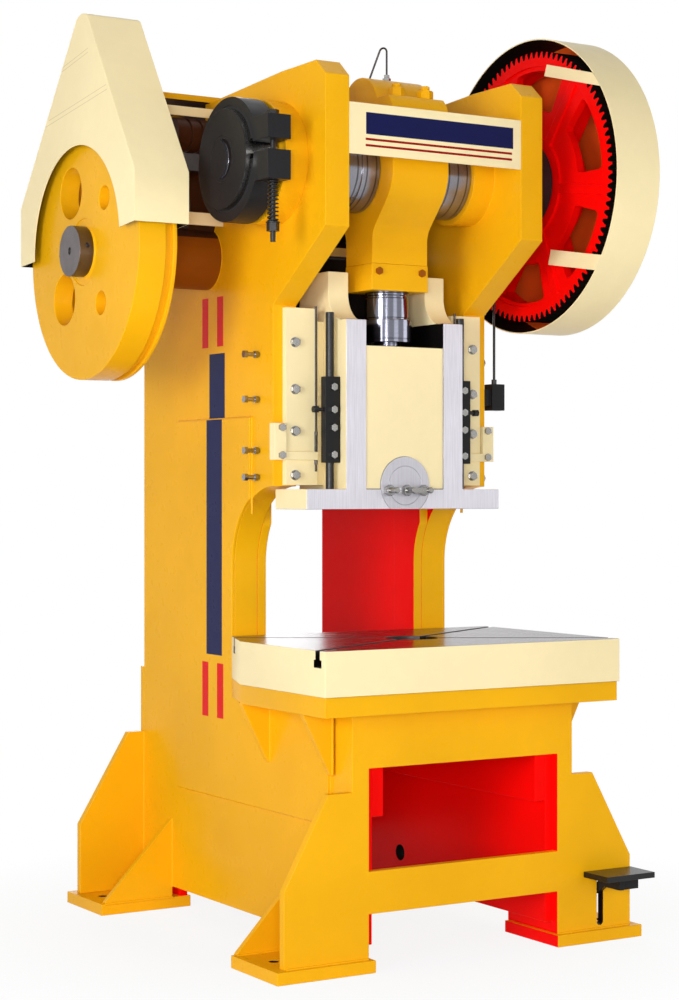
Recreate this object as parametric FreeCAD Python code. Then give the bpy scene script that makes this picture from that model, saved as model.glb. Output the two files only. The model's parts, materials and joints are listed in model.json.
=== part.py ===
import FreeCAD, Part
import os
import math

# Mechanical stamping press with an open front, all lengths in millimetres.
# X runs to the right seen from the front, Y runs to the back, Z is up.
# The origin lies on the floor, midway between the four foundation bolts.

os.makedirs("parts", exist_ok=True)
V = FreeCAD.Vector

# ---------------------------------------------------------------- clearances
RUN = 0.05        # radial running clearance of a journal in its bush
SEAT = 0.05       # radial seat clearance of two pieces held together
LOOSE = 0.6       # free gap between pieces that pass each other
SLIDE_GAP = 0.4   # gap between the slide and its guides

# ---------------------------------------------------------------- frame
FLOOR_PAD = 42.0            # thickness of a foot pad
PAD_X0, PAD_X1 = 372.0, 744.0
PAD_Y0, PAD_Y1 = 505.0, 819.0
BOLT_X, BOLT_Y = 668.0, 660.0
BOLT_HOLE_R = 16.0
SIDE_IN = 356.0             # inner face of a side plate
SIDE_T = 94.0               # thickness of a side plate
SIDE_OUT = SIDE_IN + SIDE_T
DOUBLER_T = 12.0
INNER_DOUBLER_T = 36.0
BODY_Z0 = 82.0              # lower edge of the body
REAR_Y = 749.0
TOP_Z = 3033.0
DECK_Z = 3007.0
CHEEK_Y = -625.0
CHEEK_Z1 = 2979.0
CHEEK_Z0 = 2470.0
JAW_Y = -269.0              # front edge of the plate beside the slide
JAW_Z1 = 2230.0
JAW_Z0 = 1598.0
THROAT_R = 280.0
THROAT_Y = JAW_Y + THROAT_R
BED_Z0 = 850.0
BED_T = 67.0
BED_FRONT = -865.0
BED_X = 595.0
BED_REAR = -60.0
SIDE_BED_Y = -671.0
BOLSTER_T = 149.0
BOLSTER_X = 600.0
BOLSTER_FRONT = -873.0
BOLSTER_HOLE_Y = -461.0
BOLSTER_HOLE_R = 95.0
FRONT_Y0, FRONT_T = -797.0, 30.0
FRONT_Y1 = FRONT_Y0 + FRONT_T

# ---------------------------------------------------------------- crank drive
CRANK_Y, CRANK_Z = -300.0, 2715.0
ECC = 60.0                  # half of the stroke
JOURNAL_R = 90.0
BUSH_R = 105.0
WEB_R = 147.0
WEB_X0, WEB_X1 = 118.5, 266.0
PIN_R = 80.0
PIN_BUSH_R = 90.0
HOUSING_R = 165.0
HOUSING_X0 = 268.0
PIN_Z = CRANK_Z + ECC
GEAR_SEAT_R = 85.0
CRANK_X0, CRANK_X1 = -669.0, 792.0

# ---------------------------------------------------------------- gears
MODULE = 10.0
GEAR_TEETH = 98
PINION_TEETH = 20
GEAR_X0, GEAR_X1 = 625.0, 755.0
CENTRES = MODULE * (GEAR_TEETH + PINION_TEETH) / 2 + 0.5
SHAFT_DROP = 283.0          # the back shaft lies lower than the crankshaft
SHAFT_Z = CRANK_Z - SHAFT_DROP
SHAFT_Y = CRANK_Y + math.sqrt(CENTRES ** 2 - (CRANK_Z - SHAFT_Z) ** 2)
SHAFT_R = 45.0
BACKLASH = 0.7

# ---------------------------------------------------------------- flywheel side
FLY_X0 = -949.0             # outer face of the flywheel
FLY_W = 144.0
FLY_R = 455.0
FLY_X1 = FLY_X0 + FLY_W
HUB_R, HUB_L = 90.0, 53.0
GUARD_X0, GUARD_X1 = -985.0, -779.0
SHEET = 4.0

# ---------------------------------------------------------------- brake
DRUM_R = 171.0
DRUM_X0, DRUM_X1 = CRANK_X0, -542.0
BAND_X0, BAND_X1 = -647.0, -559.0
LINING_T = 12.0
BAND_T = 30.0
LUG_Y0, LUG_Y1 = -584.0, -455.0
GAP_Z0, GAP_Z1 = CRANK_Z + 1.0, CRANK_Z + 38.0      # gap between the two lugs
LUG_TOP, LUG_FOOT = GAP_Z1 + 81.0, GAP_Z0 - 98.0
SPRING_SEAT = LUG_FOOT - 138.0
BRAKE_BOLT_Y = -534.0

# ---------------------------------------------------------------- rod and slide
ROD_X = 116.0
ROD_R = 224.0
NECK_HALF = 89.0
NECK_X = 118.0
CAP_Z = 2961.0
CROWN_R = 273.0
CLAMP_Z1, CLAMP_Z0 = 2384.0, 2290.0
SCREW_R = 80.0
COLLAR_R = 90.0
COLLAR_Z1, COLLAR_Z0 = 2192.0, 2109.0
BALL_Z, BALL_R = 1990.0, 75.0
SLIDE_FRONT = -423.0
SLIDE_REAR = -100.0
SLIDE_X = 245.0
WING_X = SIDE_IN - SLIDE_GAP
PANEL_X = 162.0
SLIDE_Z0, FLANGE_Z1 = 1518.0, 1588.0
FLANGE_X = 404.0
FLANGE_REAR = -205.0
BAND_TOP = 2180.0
POCKET_Z = BAND_TOP - 88.0
POCKET_REAR = -145.0
HORN_Z = BAND_TOP + 175.0
HORN_Y = -302.0            # front of the horns above their hollow curve
SHANK_R = 32.5
GIB_T = 25.0


# ---------------------------------------------------------------- helpers
def box(x0, x1, y0, y1, z0, z1):
    return Part.makeBox(x1 - x0, y1 - y0, z1 - z0, V(x0, y0, z0))


def cyl_x(x0, x1, y, z, r):
    return Part.makeCylinder(r, x1 - x0, V(x0, y, z), V(1, 0, 0))


def cyl_y(x, y0, y1, z, r):
    return Part.makeCylinder(r, y1 - y0, V(x, y0, z), V(0, 1, 0))


def cyl_z(x, y, z0, z1, r):
    return Part.makeCylinder(r, z1 - z0, V(x, y, z0), V(0, 0, 1))


def outline(points, place):
    # A corner is (a, b); an arc to (a, b) through (c, d) is written (c, d, a, b).
    edges = []
    start = place(*points[0][-2:])
    first = start
    for p in points[1:] + [points[0][-2:]]:
        end = place(*p[-2:])
        if len(p) == 4:
            edges.append(Part.Arc(start, place(p[0], p[1]), end).toShape())
        elif (end - start).Length > 1e-6:
            edges.append(Part.makeLine(start, end))
        start = end
    assert (start - first).Length < 1e-6
    return Part.Face(Part.Wire(edges))


def prism_x(points, x0, x1):
    return outline(points, lambda a, b: V(x0, a, b)).extrude(V(x1 - x0, 0, 0))


def prism_y(points, y0, y1):
    return outline(points, lambda a, b: V(a, y0, b)).extrude(V(0, y1 - y0, 0))


def prism_z(points, z0, z1):
    return outline(points, lambda a, b: V(a, b, z0)).extrude(V(0, 0, z1 - z0))


def mirror(shape):
    return shape.mirror(V(0, 0, 0), V(1, 0, 0))


def both(shape):
    return [shape, mirror(shape)]


def hexagon(centre, axis, flats, length):
    r = flats / math.sqrt(3)
    face_pts = []
    for i in range(7):
        a = math.radians(60 * i + 30)
        face_pts.append(V(r * math.cos(a), r * math.sin(a), 0))
    solid = Part.Face(Part.makePolygon(face_pts)).extrude(V(0, 0, length))
    turn = FreeCAD.Rotation(V(0, 0, 1), axis)
    solid.Placement = FreeCAD.Placement(centre, turn)
    return solid


def bolt(tip, axis, r, length, flats, head):
    # Hexagon head bolt: the shank starts at its tip and the head ends it.
    turn = FreeCAD.Vector(axis)
    shank = Part.makeCylinder(r, length, tip, turn)
    return shank.fuse(hexagon(tip + turn * length, turn, flats, head))


def save(name, shapes):
    if not isinstance(shapes, list):
        shapes = [shapes]
    solids = []
    for shape in shapes:
        found = shape.Solids
        assert found, name
        solids.extend(found)
    for solid in solids:
        assert solid.isValid(), name
    out = solids[0] if len(solids) == 1 else Part.makeCompound(solids)
    out.exportStep("parts/" + name + ".step")


def arc_mid(cy, cz, r, angle):
    a = math.radians(angle)
    return cy + r * math.cos(a), cz + r * math.sin(a)


# ---------------------------------------------------------------- side plates
def throat_corner(r):
    m = arc_mid(JAW_Y, JAW_Z0 - THROAT_R, r, 45)
    return (m[0], m[1], JAW_Y + r, JAW_Z0 - THROAT_R)


TIE_Y, TIE_Z = 300.0, 2610.0
side_outline = [
    (REAR_Y, BODY_Z0), (REAR_Y, 2820.0), (620.0, DECK_Z), (200.0, DECK_Z),
    (-330.0, TOP_Z), (CHEEK_Y + 62.0, TOP_Z), (CHEEK_Y, CHEEK_Z1),
    (CHEEK_Y, CHEEK_Z0), (JAW_Y, JAW_Z1), (JAW_Y, JAW_Z0),
    throat_corner(THROAT_R), (THROAT_Y, BED_Z0), (SIDE_BED_Y, BED_Z0),
    (SIDE_BED_Y, 560.0), (FRONT_Y1, 560.0), (FRONT_Y1, BODY_Z0),
]


def side_plate(right):
    plate = prism_x(side_outline, SIDE_IN, SIDE_OUT)
    plate = plate.fuse(cyl_x(HOUSING_X0, SIDE_IN, CRANK_Y, CRANK_Z, HOUSING_R))
    outer = 600.0 if right else 700.0
    plate = plate.fuse(cyl_x(SIDE_OUT, outer, SHAFT_Y, SHAFT_Z, 112.0))
    if not right:
        plate = plate.fuse(cyl_x(SIDE_OUT, 560.0, TIE_Y, TIE_Z, 158.0))
        boss = cyl_x(SIDE_OUT, 600.0, 215.0, 2880.0, 62.0)
        for x in (500.0, 545.0):
            groove = cyl_x(x, x + 10.0, 215.0, 2880.0, 63.0)
            boss = boss.cut(groove.cut(cyl_x(x, x + 10.0, 215.0, 2880.0, 55.0)))
        plate = plate.fuse(boss)
    plate = plate.cut(cyl_x(260.0, 460.0, CRANK_Y, CRANK_Z, BUSH_R + SEAT))
    plate = plate.cut(cyl_x(350.0, 710.0, SHAFT_Y, SHAFT_Z, SHAFT_R + RUN))
    if right:
        plate = plate.cut(cyl_x(350.0, 460.0, 162.0, 190.0, 30.0))
    return plate.removeSplitter()


save("side_plate_right", side_plate(True))
save("side_plate_left", mirror(side_plate(False)))

# Reinforcing plates on the outside and inside of each side plate round the throat.


def throat_arc_z(step):
    # height of the throat's arc at a step behind the jaw's front edge
    return JAW_Z0 - THROAT_R + math.sqrt(THROAT_R ** 2 - step ** 2)


OUTER_STEP, INNER_STEP = 150.0, 239.0
DOUBLER_REAR, DOUBLER_TOP, DOUBLER_FOOT = THROAT_Y + 435.0, JAW_Z0 + 244.0, BED_Z0 - 380.0
outer_doubler = prism_x([
    (DOUBLER_REAR, DOUBLER_FOOT), (DOUBLER_REAR, DOUBLER_TOP), (JAW_Y + OUTER_STEP, DOUBLER_TOP),
    (JAW_Y + OUTER_STEP, throat_arc_z(OUTER_STEP)),
    (arc_mid(JAW_Y, JAW_Z0 - THROAT_R, THROAT_R, 30) + (THROAT_Y, JAW_Z0 - THROAT_R)),
    (THROAT_Y, BED_Z0), (SIDE_BED_Y + 11.0, BED_Z0), (SIDE_BED_Y + 11.0, DOUBLER_FOOT),
], SIDE_OUT, SIDE_OUT + DOUBLER_T)
inner_doubler = prism_x([
    (THROAT_Y + 139.0, BED_Z0 + 80.0), (THROAT_Y + 139.0, JAW_Z0 - 38.0),
    (JAW_Y + INNER_STEP, JAW_Z0 - 38.0), (JAW_Y + INNER_STEP, throat_arc_z(INNER_STEP)),
    (arc_mid(JAW_Y, JAW_Z0 - THROAT_R, THROAT_R, 16) + (THROAT_Y, JAW_Z0 - THROAT_R)),
    (THROAT_Y, BED_Z0 + 80.0),
], SIDE_IN - INNER_DOUBLER_T, SIDE_IN)
save("throat_doublers", both(outer_doubler) + both(inner_doubler))

# ---------------------------------------------------------------- lower body
front_half = [
    (450.0, BED_Z0 - LOOSE), (450.0, 594.0), (540.0, 594.0), (708.0, 292.0),
    (708.0, FLOOR_PAD), (386.0, FLOOR_PAD), (386.0, 190.0),
]
front_full = front_half + [(-x, z) for x, z in reversed(front_half)]
front_plate = prism_y(front_full, FRONT_Y0, FRONT_Y1)
front_plate = front_plate.cut(box(-386.0, 386.0, -800.0, -760.0, 330.0, 669.0))
pedal_slot = box(560.0, 587.0, -800.0, -760.0, 68.0, 226.0)
pedal_slot = pedal_slot.fuse(cyl_y(573.5, -800.0, -760.0, 68.0, 13.5))
front_plate = front_plate.cut(pedal_slot)
save("front_plate", front_plate.removeSplitter())

rear_half = [
    (450.0, 900.0), (450.0, 648.0), (516.0, 648.0), (720.0, 306.0),
    (720.0, FLOOR_PAD), (386.0, FLOOR_PAD), (386.0, 190.0),
]
rear_full = rear_half + [(-x, z) for x, z in reversed(rear_half)]
rear_plate = prism_y(rear_full, REAR_Y, REAR_Y + 30.0)
save("rear_plate", rear_plate)


def cut_corner(x_side, y_front, y_rear, x_cut, y_cut):
    return [
        (-x_side, y_front), (x_side, y_front), (x_side, y_rear),
        (-x_cut, y_rear), (-x_side, y_cut),
    ]


bed = prism_z(cut_corner(BED_X, BED_FRONT, BED_REAR, 500.0, -313.0), BED_Z0, BED_Z0 + BED_T)
bed = bed.cut(cyl_z(0.0, BOLSTER_HOLE_Y, BED_Z0 - 1, BED_Z0 + BED_T + 1, 110.0))
save("bed_plate", bed)

BOLSTER_Z0 = BED_Z0 + BED_T
BOLSTER_Z1 = BOLSTER_Z0 + BOLSTER_T
bolster_plan = cut_corner(BOLSTER_X, BOLSTER_FRONT, BED_REAR, 500.0, -306.0)
bolster = prism_z(bolster_plan, BOLSTER_Z0, BOLSTER_Z1)
bolster = bolster.cut(cyl_z(0.0, BOLSTER_HOLE_Y, BOLSTER_Z0 - 1, BOLSTER_Z1 + 1, BOLSTER_HOLE_R))
SLOT_ANGLE = math.degrees(math.atan2(364.0, 600.0))
for sign in (1, -1):
    neck = box(-900.0, 900.0, -12.0, 12.0, BOLSTER_Z1 - 31.0, BOLSTER_Z1 + 1.0)
    foot = box(-900.0, 900.0, -21.0, 21.0, BOLSTER_Z1 - 55.0, BOLSTER_Z1 - 30.0)
    slot = neck.fuse(foot)
    slot.rotate(V(0, 0, 0), V(0, 0, 1), sign * SLOT_ANGLE)
    slot.translate(V(0.0, BOLSTER_HOLE_Y, 0.0))
    bolster = bolster.cut(slot)
save("bolster_plate", bolster)

bed_rail = box(312.0, SIDE_IN, FRONT_Y1, 300.0, 504.0, BED_Z0)
save("bed_rails", both(bed_rail))

GUSSET_X = SIDE_OUT + DOUBLER_T
gussets = []
for y in (-690.0, -270.0):
    tri = prism_y([(GUSSET_X, BED_Z0), (576.0, BED_Z0), (GUSSET_X + 8.0, 640.0), (GUSSET_X, 640.0)],
                  y, y + 26.0)
    gussets += both(tri)
save("bed_gussets", gussets)

pads = []
leg_gussets = []
leg_inner = []
for sy in (-1, 1):
    y0, y1 = (PAD_Y0, PAD_Y1) if sy > 0 else (-PAD_Y1, -PAD_Y0)
    pad = box(PAD_X0, PAD_X1, y0, y1, 0.0, FLOOR_PAD)
    pad = pad.cut(cyl_z(BOLT_X, sy * BOLT_Y, -1.0, FLOOR_PAD + 1.0, BOLT_HOLE_R))
    pads += both(pad)
    g0 = PAD_Y0 if sy > 0 else -PAD_Y0 - 22.0
    tri = prism_y([(SIDE_OUT, FLOOR_PAD), (730.0, FLOOR_PAD), (730.0, 50.0),
                   (SIDE_OUT, 343.0)], g0, g0 + 22.0)
    leg_gussets += both(tri)
    i0, i1 = (PAD_Y0, REAR_Y) if sy > 0 else (FRONT_Y1, -PAD_Y0)
    leg_inner += both(box(386.0, 416.0, i0, i1, FLOOR_PAD, BODY_Z0))
save("foot_pads", pads)
save("leg_gussets", leg_gussets)
save("leg_feet_bars", leg_inner)

# ---------------------------------------------------------------- upper cross members
back_web = box(-SIDE_IN, SIDE_IN, 20.0, 50.0, 1620.0, 2440.0)
for x in (-SIDE_IN, 296.0):
    back_web = back_web.fuse(box(x, x + 60.0, SLIDE_REAR + SLIDE_GAP, 20.0, 1620.0, 2200.0))
save("back_web", back_web.removeSplitter())
ribs = [box(-SIDE_IN, SIDE_IN, 50.0, 700.0, 1620.0, 1650.0)]
ribs.append(box(-SIDE_IN, SIDE_IN, 719.0, REAR_Y, 1660.0, 2420.0))
save("cross_ribs", ribs)
tie = cyl_x(-SIDE_IN, SIDE_IN, TIE_Y + 60.0, TIE_Z + 40.0, 120.0)
tie = tie.cut(cyl_x(-SIDE_IN, SIDE_IN, TIE_Y + 60.0, TIE_Z + 40.0, 100.0))
save("tie_tube", tie)
save("motor_deck", box(-745.0, SIDE_OUT, 200.0, 620.0, DECK_Z, DECK_Z + 22.0))

# ---------------------------------------------------------------- main bearings
bush = cyl_x(HOUSING_X0, SIDE_OUT + 2.0, CRANK_Y, CRANK_Z, BUSH_R)
bush = bush.cut(cyl_x(HOUSING_X0 - 1, SIDE_OUT + 3.0, CRANK_Y, CRANK_Z, JOURNAL_R + RUN))
save("main_bushes", both(bush))

# ---------------------------------------------------------------- crankshaft
shaft = cyl_x(CRANK_X0, -541.0, CRANK_Y, CRANK_Z, 80.0)
shaft = shaft.fuse(cyl_x(-541.0, -WEB_X1, CRANK_Y, CRANK_Z, JOURNAL_R))
for x in (-WEB_X1, WEB_X0):
    web = cyl_x(x, x + WEB_X1 - WEB_X0, CRANK_Y, CRANK_Z, WEB_R)
    shaft = shaft.fuse(web)
step = cyl_x(-205.0, -190.0, CRANK_Y, CRANK_Z, WEB_R + 1.0)
shaft = shaft.cut(step.cut(cyl_x(-205.0, -190.0, CRANK_Y, CRANK_Z, WEB_R - 6.0)))
shaft = shaft.fuse(cyl_x(-WEB_X0, WEB_X0, CRANK_Y, PIN_Z, PIN_R))
shaft = shaft.fuse(cyl_x(WEB_X1, 472.0, CRANK_Y, CRANK_Z, JOURNAL_R))
shaft = shaft.fuse(cyl_x(472.0, CRANK_X1, CRANK_Y, CRANK_Z, GEAR_SEAT_R))
# a crescent hollow is cut into the shaft's end face at the brake
hollow = cyl_x(CRANK_X0 - 1, CRANK_X0 + 9.0, CRANK_Y, CRANK_Z, 69.0)
hollow = hollow.cut(cyl_x(CRANK_X0 - 2, CRANK_X0 + 10.0, CRANK_Y + 34.0, CRANK_Z, 69.0))
shaft = shaft.cut(hollow)
save("crankshaft", shaft.removeSplitter())

drum = cyl_x(DRUM_X0, DRUM_X1, CRANK_Y, CRANK_Z, DRUM_R)
drum = drum.cut(cyl_x(DRUM_X0 - 1, DRUM_X1 + 1, CRANK_Y, CRANK_Z, 80.0 + SEAT))
ring = cyl_x(BAND_X0 + 30.0, DRUM_X1 + 1, CRANK_Y, CRANK_Z, 150.0)
drum = drum.cut(ring.cut(cyl_x(BAND_X0 + 30.0, DRUM_X1 + 1, CRANK_Y, CRANK_Z, 110.0)))
save("brake_drum", drum.removeSplitter())

save("clutch_hub", cyl_x(474.0, 618.0, CRANK_Y, CRANK_Z, 162.0).cut(
    cyl_x(473.0, 619.0, CRANK_Y, CRANK_Z, GEAR_SEAT_R + SEAT)))


# ---------------------------------------------------------------- toothed wheels
def involute(base_r, r):
    a = math.acos(base_r / r)
    return math.tan(a) - a


def tooth_points(teeth, centre_angle, thin):
    pitch_r = MODULE * teeth / 2
    base_r = pitch_r * math.cos(math.radians(20))
    tip_r = pitch_r + MODULE
    root_r = pitch_r - 1.25 * MODULE
    half = (math.pi * MODULE / 2 - thin) / 2 / pitch_r
    at_pitch = involute(base_r, pitch_r)
    low_r = max(base_r + 0.2, root_r + 0.5)
    radii = [low_r, (pitch_r + low_r) / 2, pitch_r + MODULE / 2, tip_r]
    side = [(r, half + at_pitch - involute(base_r, r)) for r in radii]
    side.insert(0, (root_r, side[0][1] + (0.0 if root_r < base_r else 0.002)))
    pts = [(r, centre_angle - a) for r, a in side]
    pts += [(r, centre_angle + a) for r, a in reversed(side)]
    return pts


def toothed_disc(teeth, y, z, x0, x1, first_angle, thin):
    corners = []
    for i in range(teeth):
        angle = first_angle + 2 * math.pi * i / teeth
        corners += tooth_points(teeth, angle, thin)
    pts = [V(x0, y + r * math.cos(a), z + r * math.sin(a)) for r, a in corners]
    pts.append(pts[0])
    return Part.Face(Part.makePolygon(pts)).extrude(V(x1 - x0, 0, 0))


line_angle = math.atan2(SHAFT_Z - CRANK_Z, SHAFT_Y - CRANK_Y)
gear = toothed_disc(GEAR_TEETH, CRANK_Y, CRANK_Z, GEAR_X0, GEAR_X1, line_angle, BACKLASH)
RIM_T = 32.5                # rim under the tooth roots
RIM_IN = MODULE * (GEAR_TEETH / 2 - 1.25) - RIM_T
HUB_OUT = 190.0
WEB_FRONT, WEB_BACK = GEAR_X0 + 10.0, GEAR_X0 + 42.0
ARM_HALF = 18.0
WINDOW_IN, WINDOW_OUT = 286.0, RIM_IN - 15.0
WINDOW_R = 18.0             # corner radius of a window
ARM_TURN = 8.0              # angle of the first arm at rest
for x0, x1 in ((GEAR_X0 - 1, WEB_FRONT), (WEB_BACK, GEAR_X1 + 1)):
    pocket = cyl_x(x0, x1, CRANK_Y, CRANK_Z, RIM_IN)
    pocket = pocket.cut(cyl_x(x0, x1, CRANK_Y, CRANK_Z, HUB_OUT))
    for i in range(6):
        arm = box(x0, x1, 120.0, RIM_IN + 5.0, -ARM_HALF, ARM_HALF)
        arm.rotate(V(0, 0, 0), V(1, 0, 0), 60.0 * i + ARM_TURN)
        arm.translate(V(0.0, CRANK_Y, CRANK_Z))
        pocket = pocket.cut(arm)
    gear = gear.cut(pocket)
for i in range(6):
    # openings between the arms, a rounded trapezium each
    window = prism_x([
        arc_mid(0.0, 0.0, WINDOW_IN, -18.5), arc_mid(0.0, 0.0, WINDOW_OUT, -19.8),
        (WINDOW_OUT, 0.0) + arc_mid(0.0, 0.0, WINDOW_OUT, 19.8),
        arc_mid(0.0, 0.0, WINDOW_IN, 18.5),
    ], GEAR_X0 - 1, GEAR_X1 + 1)
    corners = [e for e in window.Edges if abs(e.tangentAt(e.FirstParameter).x) > 0.99]
    window = window.makeFillet(WINDOW_R, corners)
    window.rotate(V(0, 0, 0), V(1, 0, 0), 60.0 * i + 30.0 + ARM_TURN)
    window.translate(V(0.0, CRANK_Y, CRANK_Z))
    gear = gear.cut(window)
gear = gear.cut(cyl_x(GEAR_X0 - 1, GEAR_X1 + 1, CRANK_Y, CRANK_Z, GEAR_SEAT_R + RUN))
save("bull_gear", gear.removeSplitter())

half_pitch = math.pi / PINION_TEETH
pinion = toothed_disc(PINION_TEETH, SHAFT_Y, SHAFT_Z, GEAR_X0 - 2.0, GEAR_X1 + 2.0,
                      line_angle + math.pi + half_pitch, BACKLASH)
pinion = pinion.cut(cyl_x(GEAR_X0 - 3, GEAR_X1 + 3, SHAFT_Y, SHAFT_Z, SHAFT_R + SEAT))
save("pinion", pinion)

save("back_shaft", cyl_x(FLY_X0 - HUB_L + 3.0, 788.0, SHAFT_Y, SHAFT_Z, SHAFT_R))

fly = cyl_x(FLY_X0, FLY_X1, SHAFT_Y, SHAFT_Z, FLY_R)
groove = cyl_x(FLY_X1 - 42.0, FLY_X1 - 15.0, SHAFT_Y, SHAFT_Z, FLY_R + 1)
fly = fly.cut(groove.cut(cyl_x(FLY_X1 - 42.0, FLY_X1 - 15.0, SHAFT_Y, SHAFT_Z, FLY_R - 18.0)))
# a deep dish in the rear face, a shallow ring round the hub in the front face
for x0, x1, r, inner in ((FLY_X0 - 1, FLY_X0 + 6.0, 119.0, HUB_R + 2.0),
                         (FLY_X1 - 70.0, FLY_X1 + 1, 368.0, 128.0)):
    dish = cyl_x(x0, x1, SHAFT_Y, SHAFT_Z, r)
    fly = fly.cut(dish.cut(cyl_x(x0, x1, SHAFT_Y, SHAFT_Z, inner)))
for angle, r, hole_r in ((64.0, 245.0, 92.0), (-44.0, 228.0, 92.0), (135.0, 245.0, 42.0),
                         (-127.0, 240.0, 42.0)):
    hy, hz = arc_mid(SHAFT_Y, SHAFT_Z, r, angle)
    fly = fly.cut(cyl_x(FLY_X0 - 1, FLY_X1 + 1, hy, hz, hole_r))
fly = fly.cut(cyl_x(FLY_X0 - 1, FLY_X1 + 1, SHAFT_Y, SHAFT_Z, SHAFT_R + SEAT))
save("flywheel", fly)

hub = cyl_x(FLY_X0 - HUB_L, FLY_X0, SHAFT_Y, SHAFT_Z, HUB_R)
hub = hub.cut(cyl_x(FLY_X0 - HUB_L + 3.0, FLY_X0 + 1, SHAFT_Y, SHAFT_Z, SHAFT_R + SEAT))
hub = hub.cut(cyl_x(FLY_X0 - HUB_L - 1, FLY_X0 - HUB_L + 4, SHAFT_Y, SHAFT_Z, 13.0))
hub = hub.cut(cyl_y(FLY_X0 - 24.0, SHAFT_Y - HUB_R - 1, SHAFT_Y - HUB_R + 22.0, SHAFT_Z + 14.0, 8.0))
save("flywheel_hub", hub)

# ---------------------------------------------------------------- connecting rod
rod_half = [
    (CRANK_Y - ROD_R, PIN_Z), (CRANK_Y - ROD_R, 2700.0),
    (CRANK_Y - 210.0, 2640.0, CRANK_Y - 176.0, 2590.0),
    (CRANK_Y - 118.0, 2528.0),
    (CRANK_Y - 96.0, 2498.0, CRANK_Y - NECK_HALF, 2462.0),
    (CRANK_Y - NECK_HALF, CLAMP_Z1),
]
rod_pts = list(rod_half)
rod_pts += [(CRANK_Y + NECK_HALF, CLAMP_Z1), (CRANK_Y + NECK_HALF, 2462.0),
            (CRANK_Y + 96.0, 2498.0, CRANK_Y + 118.0, 2528.0),
            (CRANK_Y + 176.0, 2590.0),
            (CRANK_Y + 210.0, 2640.0, CRANK_Y + ROD_R, 2700.0),
            (CRANK_Y + ROD_R, PIN_Z)]
rod = prism_x(rod_pts, -ROD_X, ROD_X)
rod = rod.cut(cyl_x(-ROD_X - 1, ROD_X + 1, CRANK_Y, PIN_Z, PIN_BUSH_R + SEAT))
rod = rod.cut(cyl_z(0.0, CRANK_Y, CLAMP_Z1 - 1, 2600.0, SCREW_R + SEAT))

cap_pts = [
    (CRANK_Y - ROD_R, PIN_Z + LOOSE), (CRANK_Y - ROD_R, 2880.0),
    (CRANK_Y - 216.0, 2928.0, CRANK_Y - 190.0, CAP_Z),
    (CRANK_Y - 120.0, CAP_Z), (CRANK_Y - 100.0, CAP_Z + 34.0),
    (CRANK_Y, PIN_Z + CROWN_R, CRANK_Y + 100.0, CAP_Z + 34.0),
    (CRANK_Y + 120.0, CAP_Z), (CRANK_Y + 190.0, CAP_Z),
    (CRANK_Y + 216.0, 2928.0, CRANK_Y + ROD_R, 2880.0), (CRANK_Y + ROD_R, PIN_Z + LOOSE),
]
cap = prism_x(cap_pts, -ROD_X, ROD_X)
cap = cap.cut(cyl_x(-ROD_X - 1, ROD_X + 1, CRANK_Y, PIN_Z, PIN_BUSH_R + SEAT))
cap_bolts = []
for x in (-60.0, 60.0):
    for dy in (-158.0, 158.0):
        y = CRANK_Y + dy
        cap = cap.cut(cyl_z(x, y, PIN_Z, CAP_Z + 5.0, 16.0 + SEAT))
        rod_hole = cyl_z(x, y, PIN_Z - 90.0, PIN_Z + 1.0, 16.0 + SEAT)
        rod = rod.cut(rod_hole)
        stud = cyl_z(x, y, PIN_Z - 90.0, CAP_Z + 48.0, 16.0)
        cap_bolts.append(stud.fuse(hexagon(V(x, y, CAP_Z), V(0, 0, 1), 50.0, 32.0)))
CROWN_TOP = PIN_Z + CROWN_R
FITTING_R, FITTING_DEPTH = 10.0, 6.0
cap = cap.cut(cyl_z(0.0, CRANK_Y, CROWN_TOP - FITTING_DEPTH, CROWN_TOP + 1, FITTING_R + SEAT))
save("connecting_rod", rod)
save("rod_cap", cap)
save("cap_studs", cap_bolts)

pin_bush = cyl_x(-ROD_X, ROD_X, CRANK_Y, PIN_Z, PIN_BUSH_R)
pin_bush = pin_bush.cut(cyl_x(-ROD_X - 1, ROD_X + 1, CRANK_Y, PIN_Z, PIN_R + RUN))
save("crank_pin_bush", pin_bush)

clamp = box(-NECK_X, NECK_X, CRANK_Y - NECK_HALF, CRANK_Y + NECK_HALF, CLAMP_Z0, CLAMP_Z1 - LOOSE)
clamp = clamp.cut(cyl_z(0.0, CRANK_Y, CLAMP_Z0 - 1, CLAMP_Z1 + 1, SCREW_R + SEAT))
clamp_bolts = []
for x in (-90.0, 90.0):
    clamp = clamp.cut(cyl_y(x, CRANK_Y - NECK_HALF - 1, CRANK_Y - NECK_HALF + 60.0, 2357.0, 8.0 + SEAT))
    tip = V(x, CRANK_Y - NECK_HALF + 58.0, 2357.0)
    clamp_bolts.append(bolt(tip, V(0, -1, 0), 8.0, 58.0, 24.0, 11.0))
save("screw_clamp", clamp)
save("clamp_bolts", clamp_bolts)

screw = cyl_z(0.0, CRANK_Y, COLLAR_Z1, 2590.0, SCREW_R)
screw = screw.fuse(cyl_z(0.0, CRANK_Y, COLLAR_Z0, COLLAR_Z1, COLLAR_R))
screw = screw.fuse(cyl_z(0.0, CRANK_Y, BALL_Z, COLLAR_Z0, 46.0))
screw = screw.fuse(Part.makeSphere(BALL_R, V(0.0, CRANK_Y, BALL_Z)))
save("ball_screw", screw.removeSplitter())

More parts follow.
